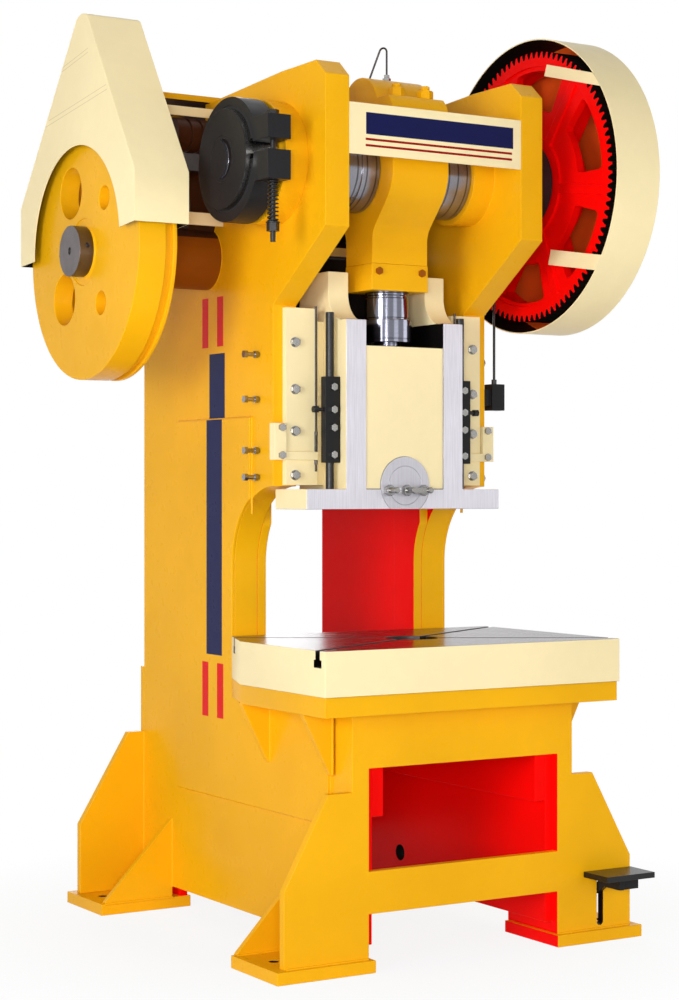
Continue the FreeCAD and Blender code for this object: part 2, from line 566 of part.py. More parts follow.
PIPE_R = 3.5
fitting = cyl_z(0.0, CRANK_Y, CROWN_TOP - FITTING_DEPTH, CROWN_TOP + 22.0, FITTING_R)
fitting = fitting.fuse(hexagon(V(0.0, CRANK_Y, CROWN_TOP), V(0, 0, 1), 26.0, 10.0))
fitting = fitting.cut(cyl_z(0.0, CRANK_Y, CROWN_TOP + 17.0, CROWN_TOP + 23.0, PIPE_R + SEAT))
save("grease_fitting", fitting)
PIPE_DIR = V(-0.39, 0.92, 0.0)
PIPE_DIR.normalize()
PIPE_BEND = 16.0
PIPE_RISE = 87.0
pipe_foot = V(0.0, CRANK_Y, CROWN_TOP + 18.0)
pipe_top = pipe_foot + V(0.0, 0.0, PIPE_RISE)


def bend_point(degrees):
    a = math.radians(degrees)
    return pipe_top + PIPE_DIR * (PIPE_BEND * (1 - math.cos(a))) + V(0, 0, PIPE_BEND * math.sin(a))


pipe_fall = PIPE_DIR * math.sin(math.radians(155)) + V(0, 0, math.cos(math.radians(155)))
pipe_end = bend_point(155) + pipe_fall * 128.0
pipe_path = Part.Wire([
    Part.makeLine(pipe_foot, pipe_top),
    Part.Arc(pipe_top, bend_point(77.5), bend_point(155)).toShape(),
    Part.makeLine(bend_point(155), pipe_end),
])
pipe_ring = Part.Wire(Part.makeCircle(PIPE_R, pipe_foot, V(0, 0, 1)))
pipe = pipe_path.makePipeShell([pipe_ring], True, False)
save("grease_pipe", pipe if pipe.Solids else Part.Solid(pipe))

# ---------------------------------------------------------------- slide
body = box(-SLIDE_X, SLIDE_X, SLIDE_FRONT, SLIDE_REAR, SLIDE_Z0, BAND_TOP)
horn_pts = [
    (SLIDE_REAR, BAND_TOP - 1.0), (SLIDE_REAR, HORN_Z), (HORN_Y, HORN_Z),
    (HORN_Y, BAND_TOP + 98.0), (HORN_Y - 30.0, BAND_TOP + 29.0, SLIDE_FRONT, BAND_TOP),
    (SLIDE_FRONT, BAND_TOP - 1.0),
]
body = body.fuse(prism_x(horn_pts, -SLIDE_X, SLIDE_X))
body = body.fuse(box(-WING_X, WING_X, JAW_Y + SLIDE_GAP, SLIDE_REAR, FLANGE_Z1 + 14.0, BAND_TOP))
body = body.fuse(box(-FLANGE_X, FLANGE_X, SLIDE_FRONT, FLANGE_REAR, SLIDE_Z0, FLANGE_Z1))
body = body.cut(box(-PANEL_X, PANEL_X, SLIDE_FRONT - 1, POCKET_REAR, POCKET_Z, HORN_Z + 1))
body = body.cut(box(-PANEL_X, PANEL_X, SLIDE_FRONT - 1, SLIDE_REAR + 1, BAND_TOP + 5.0, HORN_Z + 1))
body = body.cut(box(-PANEL_X, PANEL_X, SLIDE_FRONT - 1, SLIDE_FRONT + 4.0, FLANGE_Z1, POCKET_Z + 1))
cavity = box(-84.0, 84.0, CRANK_Y - BALL_R - 6.0, CRANK_Y + BALL_R + ECC + 6.0,
             BALL_Z - BALL_R - 16.0, BALL_Z + BALL_R + 16.0)
cavity = cavity.fuse(box(-54.0, 54.0, CRANK_Y - 54.0, CRANK_Y + 54.0 + ECC, BALL_Z, POCKET_Z + 1))
body = body.cut(cavity)
body = body.cut(cyl_z(0.0, CRANK_Y, SLIDE_Z0 - 1, SLIDE_Z0 + 90.0, SHANK_R))
CLAMP_DISC_Z = 1601.0
CLAMP_DISC_R = 102.0
disc = cyl_y(0.0, SLIDE_FRONT, SLIDE_FRONT + 70.0, CLAMP_DISC_Z, CLAMP_DISC_R)
disc = disc.common(box(-110.0, 110.0, SLIDE_FRONT, SLIDE_FRONT + 71.0, SLIDE_Z0, 1710.0))
body = body.cut(cyl_y(0.0, SLIDE_FRONT - 1, SLIDE_FRONT + 71.0, CLAMP_DISC_Z, CLAMP_DISC_R + 0.4))
step = cyl_y(0.0, SLIDE_FRONT - 1, SLIDE_FRONT + 2.0, CLAMP_DISC_Z, 69.5)
disc = disc.cut(step.cut(cyl_y(0.0, SLIDE_FRONT - 1, SLIDE_FRONT + 2.0, CLAMP_DISC_Z, 68.0)))
studs = []
for x in (-72.0, 0.0, 70.0):
    disc = disc.cut(cyl_y(x, SLIDE_FRONT - 1, SLIDE_FRONT + 71.0, 1584.0, 11.0 + SEAT))
    stud = cyl_y(x, SLIDE_FRONT - 62.0, SLIDE_FRONT + 70.0, 1584.0, 11.0)
    nut = hexagon(V(x, SLIDE_FRONT, 1584.0), V(0, -1, 0), 34.0, 24.0)
    studs.append(stud.fuse(nut))
save("slide", body.removeSplitter())
save("shank_clamp", disc)
# a lock bar joins the middle and the right stud
lock_bar = box(5.0, 65.0, SLIDE_FRONT - 52.0, SLIDE_FRONT - 40.0, 1575.0, 1593.0)
save("shank_studs", [studs[0], studs[1].fuse(lock_bar).fuse(studs[2])])

tube = cyl_z(275.0, -362.0, FLANGE_Z1, 2205.0, 14.7)
tube = tube.cut(cyl_z(275.0, -362.0, FLANGE_Z1 - 1, 2206.0, 9.0))
BLOCK_X = 306.0
block = box(SLIDE_X, BLOCK_X, -385.0, -354.0, 1680.0, 1980.0)
block = block.cut(cyl_z(275.0, -362.0, 1679.0, 1981.0, 14.7 + SEAT))
save("knockout_tubes", both(tube))
save("knockout_blocks", both(block.removeSplitter()))
block_bolts = []
for z in (1708.0, 1802.0, 1865.0, 1944.0):
    head = hexagon(V(275.0, -385.0, z), V(0, -1, 0), 24.0, 12.0)
    block_bolts += both(head)
side = cyl_x(BLOCK_X, BLOCK_X + 22.0, -370.0, 1865.0, 7.0)
side = side.fuse(hexagon(V(BLOCK_X + 22.0, -370.0, 1865.0), V(1, 0, 0), 22.0, 20.0))
block_bolts += both(side)
save("block_bolts", block_bolts)

# ---------------------------------------------------------------- slide guides
gib = box(284.0, 412.0, JAW_Y - GIB_T, JAW_Y, JAW_Z0 + 4.0, 2222.0)
save("slide_gibs", both(gib))
gib_bolts = []
for z in (1637.0, 1791.0, 1937.0, 2101.0):
    washer = cyl_y(376.0, JAW_Y - GIB_T - 3.0, JAW_Y - GIB_T, z, 18.0)
    head = hexagon(V(376.0, JAW_Y - GIB_T - 3.0, z), V(0, -1, 0), 27.0, 13.0)
    gib_bolts += both(washer.fuse(head))
BRACKET_Y = JAW_Y - GIB_T - 12.0
for z in (1706.0, 1803.0):
    gib_bolts += both(hexagon(V(436.0, BRACKET_Y, z), V(0, -1, 0), 24.0, 12.0))
save("gib_bolts", gib_bolts)
bracket = box(416.0, 464.0, BRACKET_Y, JAW_Y, 1690.0, 1818.0)
bracket = bracket.fuse(box(288.0, 464.0, BRACKET_Y, JAW_Y - GIB_T, 1690.0, 1719.0))
bracket = bracket.cut(cyl_z(294.0, BRACKET_Y + 6.0, 1689.0, 1720.0, 4.0 + SEAT))
save("stop_brackets", both(bracket.removeSplitter()))
rod_y = BRACKET_Y + 6.0
stop = cyl_z(294.0, rod_y, 1650.0, 2230.0, 4.0)
stop = stop.fuse(hexagon(V(294.0, rod_y, 1674.0), V(0, 0, 1), 10.0, 16.0))
stop = stop.fuse(cyl_z(294.0, rod_y, 1719.0, 1778.0, 5.4))
stop = stop.fuse(hexagon(V(294.0, rod_y, 1778.0), V(0, 0, 1), 10.0, 12.0))
save("stop_rods", both(stop))
adjusters = []
for z in (1630.0, 1724.0, 1904.0, 2062.0):
    stud = cyl_x(SIDE_OUT, SIDE_OUT + 62.0, -172.0, z, 8.0)
    stud = stud.fuse(hexagon(V(SIDE_OUT + 8.0, -172.0, z), V(1, 0, 0), 24.0, 13.0))
    stud = stud.fuse(hexagon(V(SIDE_OUT + 50.0, -172.0, z), V(1, 0, 0), 24.0, 14.0))
    adjusters += both(stud)
save("gib_adjusting_screws", adjusters)

# ---------------------------------------------------------------- name board
save("name_board", box(-SIDE_IN, SIDE_IN, CHEEK_Y, CHEEK_Y + 6.0, 2718.0, 2892.0))

# ---------------------------------------------------------------- belt guard
GUARD_REAR = SHAFT_Y + FLY_R + 26.7     # rear and front walls clear the flywheel
GUARD_FRONT = SHAFT_Y - FLY_R - 35.3
GUARD_TOP = SHAFT_Z + FLY_R + 375.0
GUARD_FOOT = SHAFT_Z - 12.0
APEX_Y = 150.0
GUARD_OUT = [
    (GUARD_REAR, GUARD_FOOT), (GUARD_REAR, SHAFT_Z + 203.0), (APEX_Y + 48.0, GUARD_TOP - 14.0),
    (APEX_Y, GUARD_TOP, APEX_Y - 46.0, GUARD_TOP - 14.0), (GUARD_FRONT, SHAFT_Z + 233.0),
    (GUARD_FRONT, SHAFT_Z + 56.0), (210.0, SHAFT_Z + 18.0),
]
GUARD_IN = [
    (GUARD_REAR - SHEET, GUARD_FOOT - 20.0), (GUARD_REAR - SHEET, SHAFT_Z + 201.0),
    (APEX_Y + 44.0, GUARD_TOP - 17.5), (APEX_Y - 42.0, GUARD_TOP - 17.5),
    (GUARD_FRONT + SHEET, SHAFT_Z + 231.0), (GUARD_FRONT + SHEET, GUARD_FOOT - 20.0),
]
guard = prism_x(GUARD_OUT, GUARD_X0, GUARD_X1)
guard = guard.cut(prism_x(GUARD_IN, GUARD_X0 + SHEET, GUARD_X1 - SHEET))
GUARD_HOLE_R = FLY_R - 90.0
guard = guard.cut(cyl_x(GUARD_X0 - 1, GUARD_X1 + 1, 210.0, SHAFT_Z + 8.0, GUARD_HOLE_R))
save("belt_guard", guard.removeSplitter())
bars = [box(GUARD_X1, -SIDE_OUT, 96.0, 104.0, 2541.0, 2586.0)]
bars.append(box(GUARD_X1, -SIDE_OUT, 96.0, 104.0, 2930.0, 2963.0))
save("guard_brackets", bars)

# ---------------------------------------------------------------- gear guard
RING_GAP = 41.0             # from the tooth tips to the ring
RING_R = MODULE * (GEAR_TEETH / 2 + 1) + RING_GAP + SHEET
LOBE_R = MODULE * (PINION_TEETH / 2 + 1) + RING_GAP - 5.0 + SHEET
RING_X0, RING_X1 = 613.0, 805.0
cover = cyl_x(RING_X0, RING_X1, CRANK_Y, CRANK_Z, RING_R)
cover = cover.fuse(cyl_x(RING_X0, RING_X1, SHAFT_Y, SHAFT_Z, LOBE_R))
inside = cyl_x(RING_X0 - 1, RING_X1 - SHEET, CRANK_Y, CRANK_Z, RING_R - SHEET)
inside = inside.fuse(cyl_x(RING_X0 - 1, RING_X1 - SHEET, SHAFT_Y, SHAFT_Z, LOBE_R - SHEET))
cover = cover.cut(inside)
save("gear_guard", cover.removeSplitter())
RING_IN = RING_R - SHEET


def strap(points):
    plate = prism_x(points, RING_X0 - 6.0, RING_X0)
    return plate.common(cyl_x(RING_X0 - 7.0, RING_X0 + 1.0, CRANK_Y, CRANK_Z, RING_R))


def stay(angle):
    # a flat stay from the side plate to the inner wall of the ring
    x1 = RING_X0 + 27.0
    bar = box(SIDE_OUT, x1, CRANK_Y + RING_IN - 22.0, CRANK_Y + RING_IN + 5.0, CRANK_Z - 3.0, CRANK_Z + 3.0)
    bar.rotate(V(0.0, CRANK_Y, CRANK_Z), V(1, 0, 0), angle)
    return bar.common(cyl_x(SIDE_OUT, x1, CRANK_Y, CRANK_Z, RING_IN))


straps = [
    strap([(-785.5, 3009.8), (-785.5, 3051.8), (-441.0, 3148.0), (-425.0, 3108.0)]),
    strap([(-821.0, 2352.0), (-837.0, 2406.0), (-465.0, 2466.0), (-449.0, 2412.0)]),
    stay(25.0),
    stay(-57.0),
]
save("gear_guard_straps", straps)

# ---------------------------------------------------------------- band brake
LINING_IN = DRUM_R + 0.4
LINING_OUT = LINING_IN + LINING_T
BAND_OUT = LINING_OUT + BAND_T
mouth = box(BAND_X0 - 1, BAND_X1 + 1, -700.0, CRANK_Y, GAP_Z0 - 20.0, GAP_Z1 + 12.0)
lining = cyl_x(BAND_X0 + 2, BAND_X1 - 2, CRANK_Y, CRANK_Z, LINING_OUT)
lining = lining.cut(cyl_x(BAND_X0, BAND_X1, CRANK_Y, CRANK_Z, LINING_IN)).cut(mouth)
save("brake_lining", lining)
band = cyl_x(BAND_X0, BAND_X1, CRANK_Y, CRANK_Z, BAND_OUT)
band = band.fuse(box(BAND_X0, BAND_X1, LUG_Y0, LUG_Y1 + 40.0, GAP_Z1, LUG_TOP))
band = band.fuse(box(BAND_X0, BAND_X1, LUG_Y0, LUG_Y1 + 40.0, LUG_FOOT, GAP_Z0))
band = band.cut(cyl_x(BAND_X0 - 1, BAND_X1 + 1, CRANK_Y, CRANK_Z, LINING_OUT + SEAT))
band = band.cut(box(BAND_X0 - 1, BAND_X1 + 1, -700.0, CRANK_Y, GAP_Z0, GAP_Z1))
BOLT_BX = -600.0
band = band.cut(cyl_z(BOLT_BX, BRAKE_BOLT_Y, LUG_FOOT - 20.0, LUG_TOP + 16.0, 11.0))
save("brake_band", band.removeSplitter())
long_bolt = cyl_z(BOLT_BX, BRAKE_BOLT_Y, SPRING_SEAT - 67.0, LUG_TOP + 20.0, 9.0)
long_bolt = long_bolt.fuse(hexagon(V(BOLT_BX, BRAKE_BOLT_Y, LUG_TOP), V(0, 0, 1), 36.0, 20.0))
long_bolt = long_bolt.fuse(hexagon(V(BOLT_BX, BRAKE_BOLT_Y, SPRING_SEAT - 32.0), V(0, 0, 1), 38.0, 28.0))
long_bolt = long_bolt.fuse(cyl_z(BOLT_BX, BRAKE_BOLT_Y, SPRING_SEAT - 4.0, SPRING_SEAT, 24.0))
save("brake_bolt", long_bolt)

COIL_R = 16.5
WIRE_R = 3.2
COILS = 10
coil_z0, coil_z1 = SPRING_SEAT + WIRE_R, LUG_FOOT - WIRE_R
pitch = (coil_z1 - coil_z0) / COILS
arcs = []
for i in range(COILS * 2):
    a0 = math.pi * i
    pts = []
    for k in range(3):
        a = a0 + math.pi * k / 2
        z = coil_z0 + pitch * a / (2 * math.pi)
        pts.append(V(BOLT_BX + COIL_R * math.cos(a), BRAKE_BOLT_Y + COIL_R * math.sin(a), z))
    arcs.append(Part.Arc(pts[0], pts[1], pts[2]).toShape())
coil_path = Part.Wire(arcs)
start = V(BOLT_BX + COIL_R, BRAKE_BOLT_Y, coil_z0)
ring = Part.Wire(Part.makeCircle(WIRE_R, start, V(0, 1, 0)))
coil = coil_path.makePipeShell([ring], True, False)
turn_pts = [arcs[0].valueAt(arcs[0].FirstParameter), arcs[2].valueAt(arcs[2].FirstParameter)]
print("least gap between coils", round((turn_pts[1] - turn_pts[0]).Length - 2 * WIRE_R, 2))
save("brake_spring", coil if coil.Solids else Part.Solid(coil))

plate = cyl_x(-537.0, -SIDE_OUT, CRANK_Y, CRANK_Z, 212.0)
plate = plate.cut(cyl_x(-538.0, -SIDE_OUT + 1, CRANK_Y, CRANK_Z, BUSH_R + 4.0))
save("brake_backing", plate)

# ---------------------------------------------------------------- trip rod
TRIP_X, TRIP_Y = 520.0, -231.0
rod_t = cyl_z(TRIP_X, TRIP_Y, 1980.0, 2560.0, 5.0)
rod_t = rod_t.fuse(hexagon(V(TRIP_X, TRIP_Y, 1980.0), V(0, 0, 1), 17.0, 18.0))
save("trip_rod", rod_t)
save("trip_block", box(494.0, 550.0, -257.0, -205.0, 1882.0, 1980.0).fuse(
    box(SIDE_OUT, 494.0, -245.0, -217.0, 1900.0, 1960.0)))

# ---------------------------------------------------------------- foot pedal
PEDAL_Y, PEDAL_Z = -560.0, 150.0
pedal = box(495.0, 705.0, -938.0, -804.0, 230.0, 250.0)
save("pedal_plate", pedal)
lever_pts = [(-920.0, 195.0), (-920.0, 230.0), (-820.0, 230.0), (-790.0, 205.0),
             (-540.0, 172.0), (-540.0, 128.0), (-790.0, 165.0), (-830.0, 195.0)]
lever = prism_x(lever_pts, 564.0, 583.0)
lever = lever.fuse(box(583.0, 650.0, -915.0, -840.0, 195.0, 230.0))
lever = lever.cut(cyl_x(560.0, 590.0, PEDAL_Y, PEDAL_Z, 10.0 + RUN))
save("pedal_lever", lever)
pivot = cyl_x(SIDE_OUT, 600.0, PEDAL_Y, PEDAL_Z, 10.0)
pivot = pivot.fuse(cyl_x(SIDE_OUT, 563.0, PEDAL_Y, PEDAL_Z, 18.0))
pivot = pivot.fuse(cyl_x(584.0, 600.0, PEDAL_Y, PEDAL_Z, 18.0))
save("pedal_pivot", pivot)
print("saved", len(os.listdir("parts")))
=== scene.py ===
# %% [markdown]
# # A mechanical stamping press
#
# This lesson dresses a imported CAD model of a C-frame power press. The CAD gives every
# solid its exact place. Blender adds what the eye reads as real: softened edges, paint,
# ground steel, weld beads, hexagon bolts, gear teeth, a wound spring, and a plain
# studio around it all.
#
# The imported model is loaded first and measured. Each dressed solid is then measured
# against its own CAD box, to see that it has not grown past it.

# %% Load the imported press
import json
from math import acos, atan2, copysign, cos, hypot, pi, radians, sin, tan, tau

import bmesh
import bpy
from mathutils import Matrix, Vector


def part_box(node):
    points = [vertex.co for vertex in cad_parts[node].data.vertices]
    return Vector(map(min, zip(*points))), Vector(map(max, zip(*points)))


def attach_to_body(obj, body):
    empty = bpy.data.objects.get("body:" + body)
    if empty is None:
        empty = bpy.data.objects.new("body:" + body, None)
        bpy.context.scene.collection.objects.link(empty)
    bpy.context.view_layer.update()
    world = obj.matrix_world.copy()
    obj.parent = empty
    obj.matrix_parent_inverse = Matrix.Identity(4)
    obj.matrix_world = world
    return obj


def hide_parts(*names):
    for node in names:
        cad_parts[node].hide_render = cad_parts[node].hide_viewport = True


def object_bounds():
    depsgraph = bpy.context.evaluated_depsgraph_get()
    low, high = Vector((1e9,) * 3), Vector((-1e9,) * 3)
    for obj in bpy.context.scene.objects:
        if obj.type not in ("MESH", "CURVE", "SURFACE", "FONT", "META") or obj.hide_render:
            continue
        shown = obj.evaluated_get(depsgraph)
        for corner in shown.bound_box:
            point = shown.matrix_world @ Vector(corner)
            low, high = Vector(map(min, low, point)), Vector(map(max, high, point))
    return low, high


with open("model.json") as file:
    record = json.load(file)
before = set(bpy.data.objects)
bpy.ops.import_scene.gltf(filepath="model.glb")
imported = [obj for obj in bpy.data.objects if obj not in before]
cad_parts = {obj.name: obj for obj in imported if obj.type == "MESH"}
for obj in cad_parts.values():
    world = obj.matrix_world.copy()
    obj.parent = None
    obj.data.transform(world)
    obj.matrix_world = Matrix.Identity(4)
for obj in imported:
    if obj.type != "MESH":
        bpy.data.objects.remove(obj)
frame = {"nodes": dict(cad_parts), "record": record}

cad_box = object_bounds()
BODY_OF = {n: body for body, names in frame["record"]["behaviour"]["bodies"].items() for n in names}
SLOT_OF = {row["node"]: row["material_slot"] for row in frame["record"]["subparts"]}

# %% [markdown]
# ## Camera
#
# A photographer stands a little left of the press and well back, with the camera level,
# which keeps the press's uprights upright in the picture. The lens is long, about twice
# the frame's height, so that the far side is hardly smaller than the near side. The
# picture's centre lies a few pixels under the horizon: that is the small vertical shift.

# %% Place the camera
def new_object(name, data):
    made = bpy.data.objects.new(name, data)
    bpy.context.scene.collection.objects.link(made)
    return made


camera_data = bpy.data.cameras.new("studio_camera")
camera_data.sensor_fit = "VERTICAL"
camera_data.sensor_height = 24.0
camera_data.lens = 2.1186 * camera_data.sensor_height
camera_data.shift_y = -0.0068
camera_data.clip_end = 200.0
camera = new_object("studio_camera", camera_data)
camera.location = (-4.0846, -6.693, 1.5739)
camera.rotation_euler = (radians(90.0), 0.0, radians(-31.3))
bpy.context.scene.camera = camera
bpy.context.scene.view_settings.view_transform = "Standard"
print("lens", round(camera_data.lens, 2), "mm")

# %% [markdown]
# ## Building shader trees
#
# Every finish below is a small tree of shader nodes. One helper makes a node, sets its
# options and its sockets, and links a socket where another node's output is given. A
# colour is written as the eye sees it, as red, green and blue from 0 to 255, and turned
# into the linear light values that the renderer works in. Trees are built one at a time,
# so the helpers all work on the tree that was opened last.

# %% Helpers for shader trees
OPEN = []  # the node trees, in the order in which they were opened


def paint(red, green, blue):
    values = []
    for part in (red / 255.0, green / 255.0, blue / 255.0):
        low_end = part <= 0.04045
        values.append(part / 12.92 if low_end else ((part + 0.055) / 1.055) ** 2.4)
    return (*values, 1.0)


def scaled(colour, factor):
    return (*(min(1.0, c * factor) for c in colour[:3]), 1.0)


def wire(made, **sockets):
    """Sets or links a node's sockets. _0 is the first, any other name is the socket's own."""
    for key, value in sockets.items():
        socket = made.inputs[int(key[1:]) if key[0] == "_" else key.replace("_", " ")]
        if isinstance(value, bpy.types.NodeSocket):
            OPEN[-1].links.new(value, socket)
        else:
            socket.default_value = value
    return made


def add(kind, options=None, **sockets):
    made = OPEN[-1].nodes.new(kind)
    for key, value in (options or {}).items():
        setattr(made, key, value)
    return wire(made, **sockets)


def shade(kind, options=None, **sockets):
    """Makes a shader node and gives its first output."""
    return add("ShaderNode" + kind, options, **sockets).outputs[0]


def calc(operation, *values):
    places = {"_" + str(k): value for k, value in enumerate(values)}
    return shade("Math", {"operation": operation}, **places)


def product(*values):
    made = values[0]
    for value in values[1:]:
        made = calc("MULTIPLY", made, value)
    return made


def blend_colour(factor, first, second):
    options = {"data_type": "RGBA"}
    return add("ShaderNodeMix", options, _0=factor, _6=first, _7=second).outputs[2]


def spread(value, low, high, to_low, to_high):
    return shade("MapRange", {"clamp": True}, Value=value, From_Min=low, From_Max=high,
                 To_Min=to_low, To_Max=to_high)


def noise(place, scale, detail):
    return shade("TexNoise", Vector=place, Scale=scale, Detail=detail)


def own_place():
    return add("ShaderNodeTexCoord").outputs["Object"]


def open_shader(owner):
    owner.use_nodes = True
    owner.node_tree.nodes.clear()
    OPEN.append(owner.node_tree)


def start_material(name):
    material = bpy.data.materials.new(name)
    open_shader(material)
    shader = add("ShaderNodeBsdfPrincipled")
    add("ShaderNodeOutputMaterial", Surface=shader.outputs[0])
    return material, shader, own_place()


print("shader helpers ready")

# %% [markdown]
# ## Studio floor and backdrop
#
# A catalogue picture has no visible horizon: the floor fades into the white behind it.
# Here it is one large sheet. Near the press it takes light and shadow like pale paper.
# With distance it mixes into a white glow that only camera and mirror rays see, so it
# adds no light to the press. The world too is white to look at and a soft grey as light.

# %% Floor and world
WHITE = (1.0, 1.0, 1.0, 1.0)
PAPER = (0.84, 0.84, 0.84, 1.0)
AMBIENT = 0.26
NEAR, FAR, GLOW_NEAR = 0.8, 1.9, 0.88
SPAN = 40.0


def camera_sees():
    path = add("ShaderNodeLightPath").outputs
    seen = calc("MAXIMUM", path["Is Camera Ray"], path["Is Glossy Ray"])
    return calc("MAXIMUM", seen, path["Is Transmission Ray"])


floor_finish = bpy.data.materials.new("pale_floor")
open_shader(floor_finish)
paper = shade("BsdfDiffuse", Color=PAPER)
glow = shade("Emission", Color=WHITE, Strength=1.0)
reach = add("ShaderNodeVectorMath", {"operation": "LENGTH"}, _0=own_place())
fade = spread(reach.outputs["Value"], NEAR, FAR, GLOW_NEAR, 1.0)
fade = product(fade, camera_sees())
mixed = shade("MixShader", _0=fade, _1=paper, _2=glow)
add("ShaderNodeOutputMaterial", Surface=mixed)

floor_z = cad_box[0][2]
floor_mesh = bpy.data.meshes.new("studio_floor")
corners = ((-1, -1), (1, -1), (1, 1), (-1, 1))
floor_mesh.from_pydata([(SPAN * x, SPAN * y, floor_z) for x, y in corners], [], [(0, 1, 2, 3)])
floor_mesh.materials.append(floor_finish)
new_object("studio_floor", floor_mesh)

world = bpy.data.worlds.new("studio_world")
bpy.context.scene.world = world
open_shader(world)
strength = calc("MAXIMUM", camera_sees(), AMBIENT)
add("ShaderNodeOutputWorld", Surface=shade("Background", Color=WHITE, Strength=strength))
print("floor at", round(floor_z, 4))

# %% [markdown]
# ## Soft boxes
#
# Large area lights give wide, soft shadows. The main one stands low at the left, and a
# second beside the camera reaches into the throat. Two weaker ones fill the right front
# and right side, a faint one hangs overhead, and one behind keeps the back from going dull.

# %% Place the soft boxes
AIM = Vector((0.0, 0.0, 1.5))
SOFT_BOXES = {  # place in metres, watts, width in metres
    "main": ((-6.9, -3.6, 2.2), 272.0, 3.0), "front": ((-4.7, -7.4, 1.6), 272.0, 2.2),
    "right_front": ((1.6, -8.0, 2.2), 36.0, 3.0), "right": ((7.0, -3.5, 2.6), 100.0, 4.0),
    "top": ((0.5, 0.5, 7.5), 36.0, 4.0), "rear": ((2.5, 6.5, 4.0), 150.0, 4.0),
}
for name, (place, watts, size) in SOFT_BOXES.items():
    light = bpy.data.lights.new(name + "_soft_box", "AREA")
    light.shape = "DISK"
    light.size = size
    light.energy = watts
    lamp = new_object(light.name, light)
    lamp.location = place
    lamp.rotation_euler = (AIM - Vector(place)).to_track_quat("-Z", "Y").to_euler()
print(len(SOFT_BOXES), "soft boxes")

# %% [markdown]
# ## Sprayed enamel
#
# Sprayed machine enamel is never one flat colour: the film is a little thicker in
# places, the gloss wanders, and close up it has the fine ripple that painters call orange
# peel. Three noises at three sizes give that. The gloss is weak, because a strong white
# one would wash the deep yellow out. One yellow carries a patch of painted shade for the
# plate behind the flywheel hood, where the hood's shadow falls: it fades out over a
# hand's width.

# %% The painted finishes
YELLOW = (246, 181, 16)
CREAM = (252, 234, 184)
RED = (253, 8, 5)
HOOD_SHADE = paint(60, 30, 14)


def enamel(name, colour, roughness=0.30, depth=0.90, gloss=0.09, coat=0.03):
    material, shader, place = start_material(name)
    colour = paint(*colour)
    cloud, grain = noise(place, 1.6, 3.0), noise(place, 23.0, 2.0)
    film = spread(cloud, 0.32, 0.68, 0.0, 1.0)
    film = blend_colour(film, scaled(colour, depth), scaled(colour, 1.03))
    speck = spread(grain, 0.3, 0.7, 0.0, 0.06)
    film = blend_colour(speck, film, scaled(colour, 0.7))
    matt = spread(grain, 0.3, 0.7, roughness - 0.04, roughness + 0.07)
    peel = noise(place, 170.0, 1.0)
    ripple = shade("Bump", Strength=0.10, Distance=0.0008, Height=peel)
    wire(shader, Base_Color=film, Roughness=matt, Normal=ripple, Specular_IOR_Level=gloss,
         Coat_Weight=coat, Coat_Roughness=0.10)
    return material, shader, place, film


def split(place):
    return add("ShaderNodeSeparateXYZ", Vector=place).outputs


yellow = enamel("yellow_enamel", YELLOW)[0]
cream = enamel("cream_enamel", CREAM, 0.34, 0.95)[0]
red = enamel("red_enamel", RED, 0.32, 0.92, 0.04, 0.01)[0]
black = enamel("black_enamel", (36, 36, 38), 0.32, 0.8)[0]
# Partly painted shade: the gear guard's red-brown primer, given darker as in the guard's shade.
shade_red = enamel("guard_inner_primer", (246, 96, 30), 0.5, 0.7)[0]
# Painted shade: dark brown and dark ochre stand for shade on bosses, an underside and recessed
# bolts.
shade_brown = enamel("oil_darkened_brown", (66, 34, 16), 0.5, 0.7)[0]
shade_ochre = enamel("oil_darkened_ochre", (158, 84, 12), 0.45, 0.7)[0]
# Painted shade: black for holes, hollows and insides that the light doesn't reach.
painted_shade_black = enamel("unlit_inner_black", (20, 14, 14), 0.6, 0.7)[0]
# Painted shade: a dark brown patch on the plate behind the flywheel hood, where its shadow falls.
with_hood_shade, shader, place, film = enamel("yellow_enamel_with_grime", YELLOW)
parts = split(place)
behind = product(spread(parts["Y"], 0.40, 0.56, 1.0, 0.0), spread(parts["Z"], 2.46, 2.58, 0.0, 1.0))
wire(shader, Base_Color=blend_colour(behind, film, HOOD_SHADE))
enamels = (yellow, cream, red, black, shade_red, shade_brown, shade_ochre, painted_shade_black, with_hood_shade)
print("enamels", [m.name for m in enamels])

# %% [markdown]
# ## Painted bars
#
# The name board and the left side carry painted bars. Where the real press has words,
# this one has plain bars of the same width and colour. They are paint, so they belong in
# the finish: a small sum on a point's own coordinates says whether it lies in a bar.

# %% A finish with bars on it
def within(value, low, high):
    off = calc("ABSOLUTE", calc("SUBTRACT", value, (low + high) / 2))
    return calc("LESS_THAN", off, (high - low) / 2)


def marked(name, base, gate, marks):
    """An enamel with marks. Each is a colour and a rule that says how strong it is at a
    point. The gate is the face that they lie on: an axis, and from where to where."""
    material, shader, place, film = enamel(name, *base)
    parts = split(place)
    on_face = within(parts[gate[0]], *gate[1:])
    for colour, strength_at in marks:
        film = blend_colour(product(strength_at(parts), on_face), film, colour)
    wire(shader, Base_Color=film)
    return material


def bar(colour, axes, *sides):
    """A bar with two sides along one axis and two along the other."""
    return colour, lambda parts: product(within(parts[axes[0]], *sides[:2]),
                                         within(parts[axes[1]], *sides[2:]))


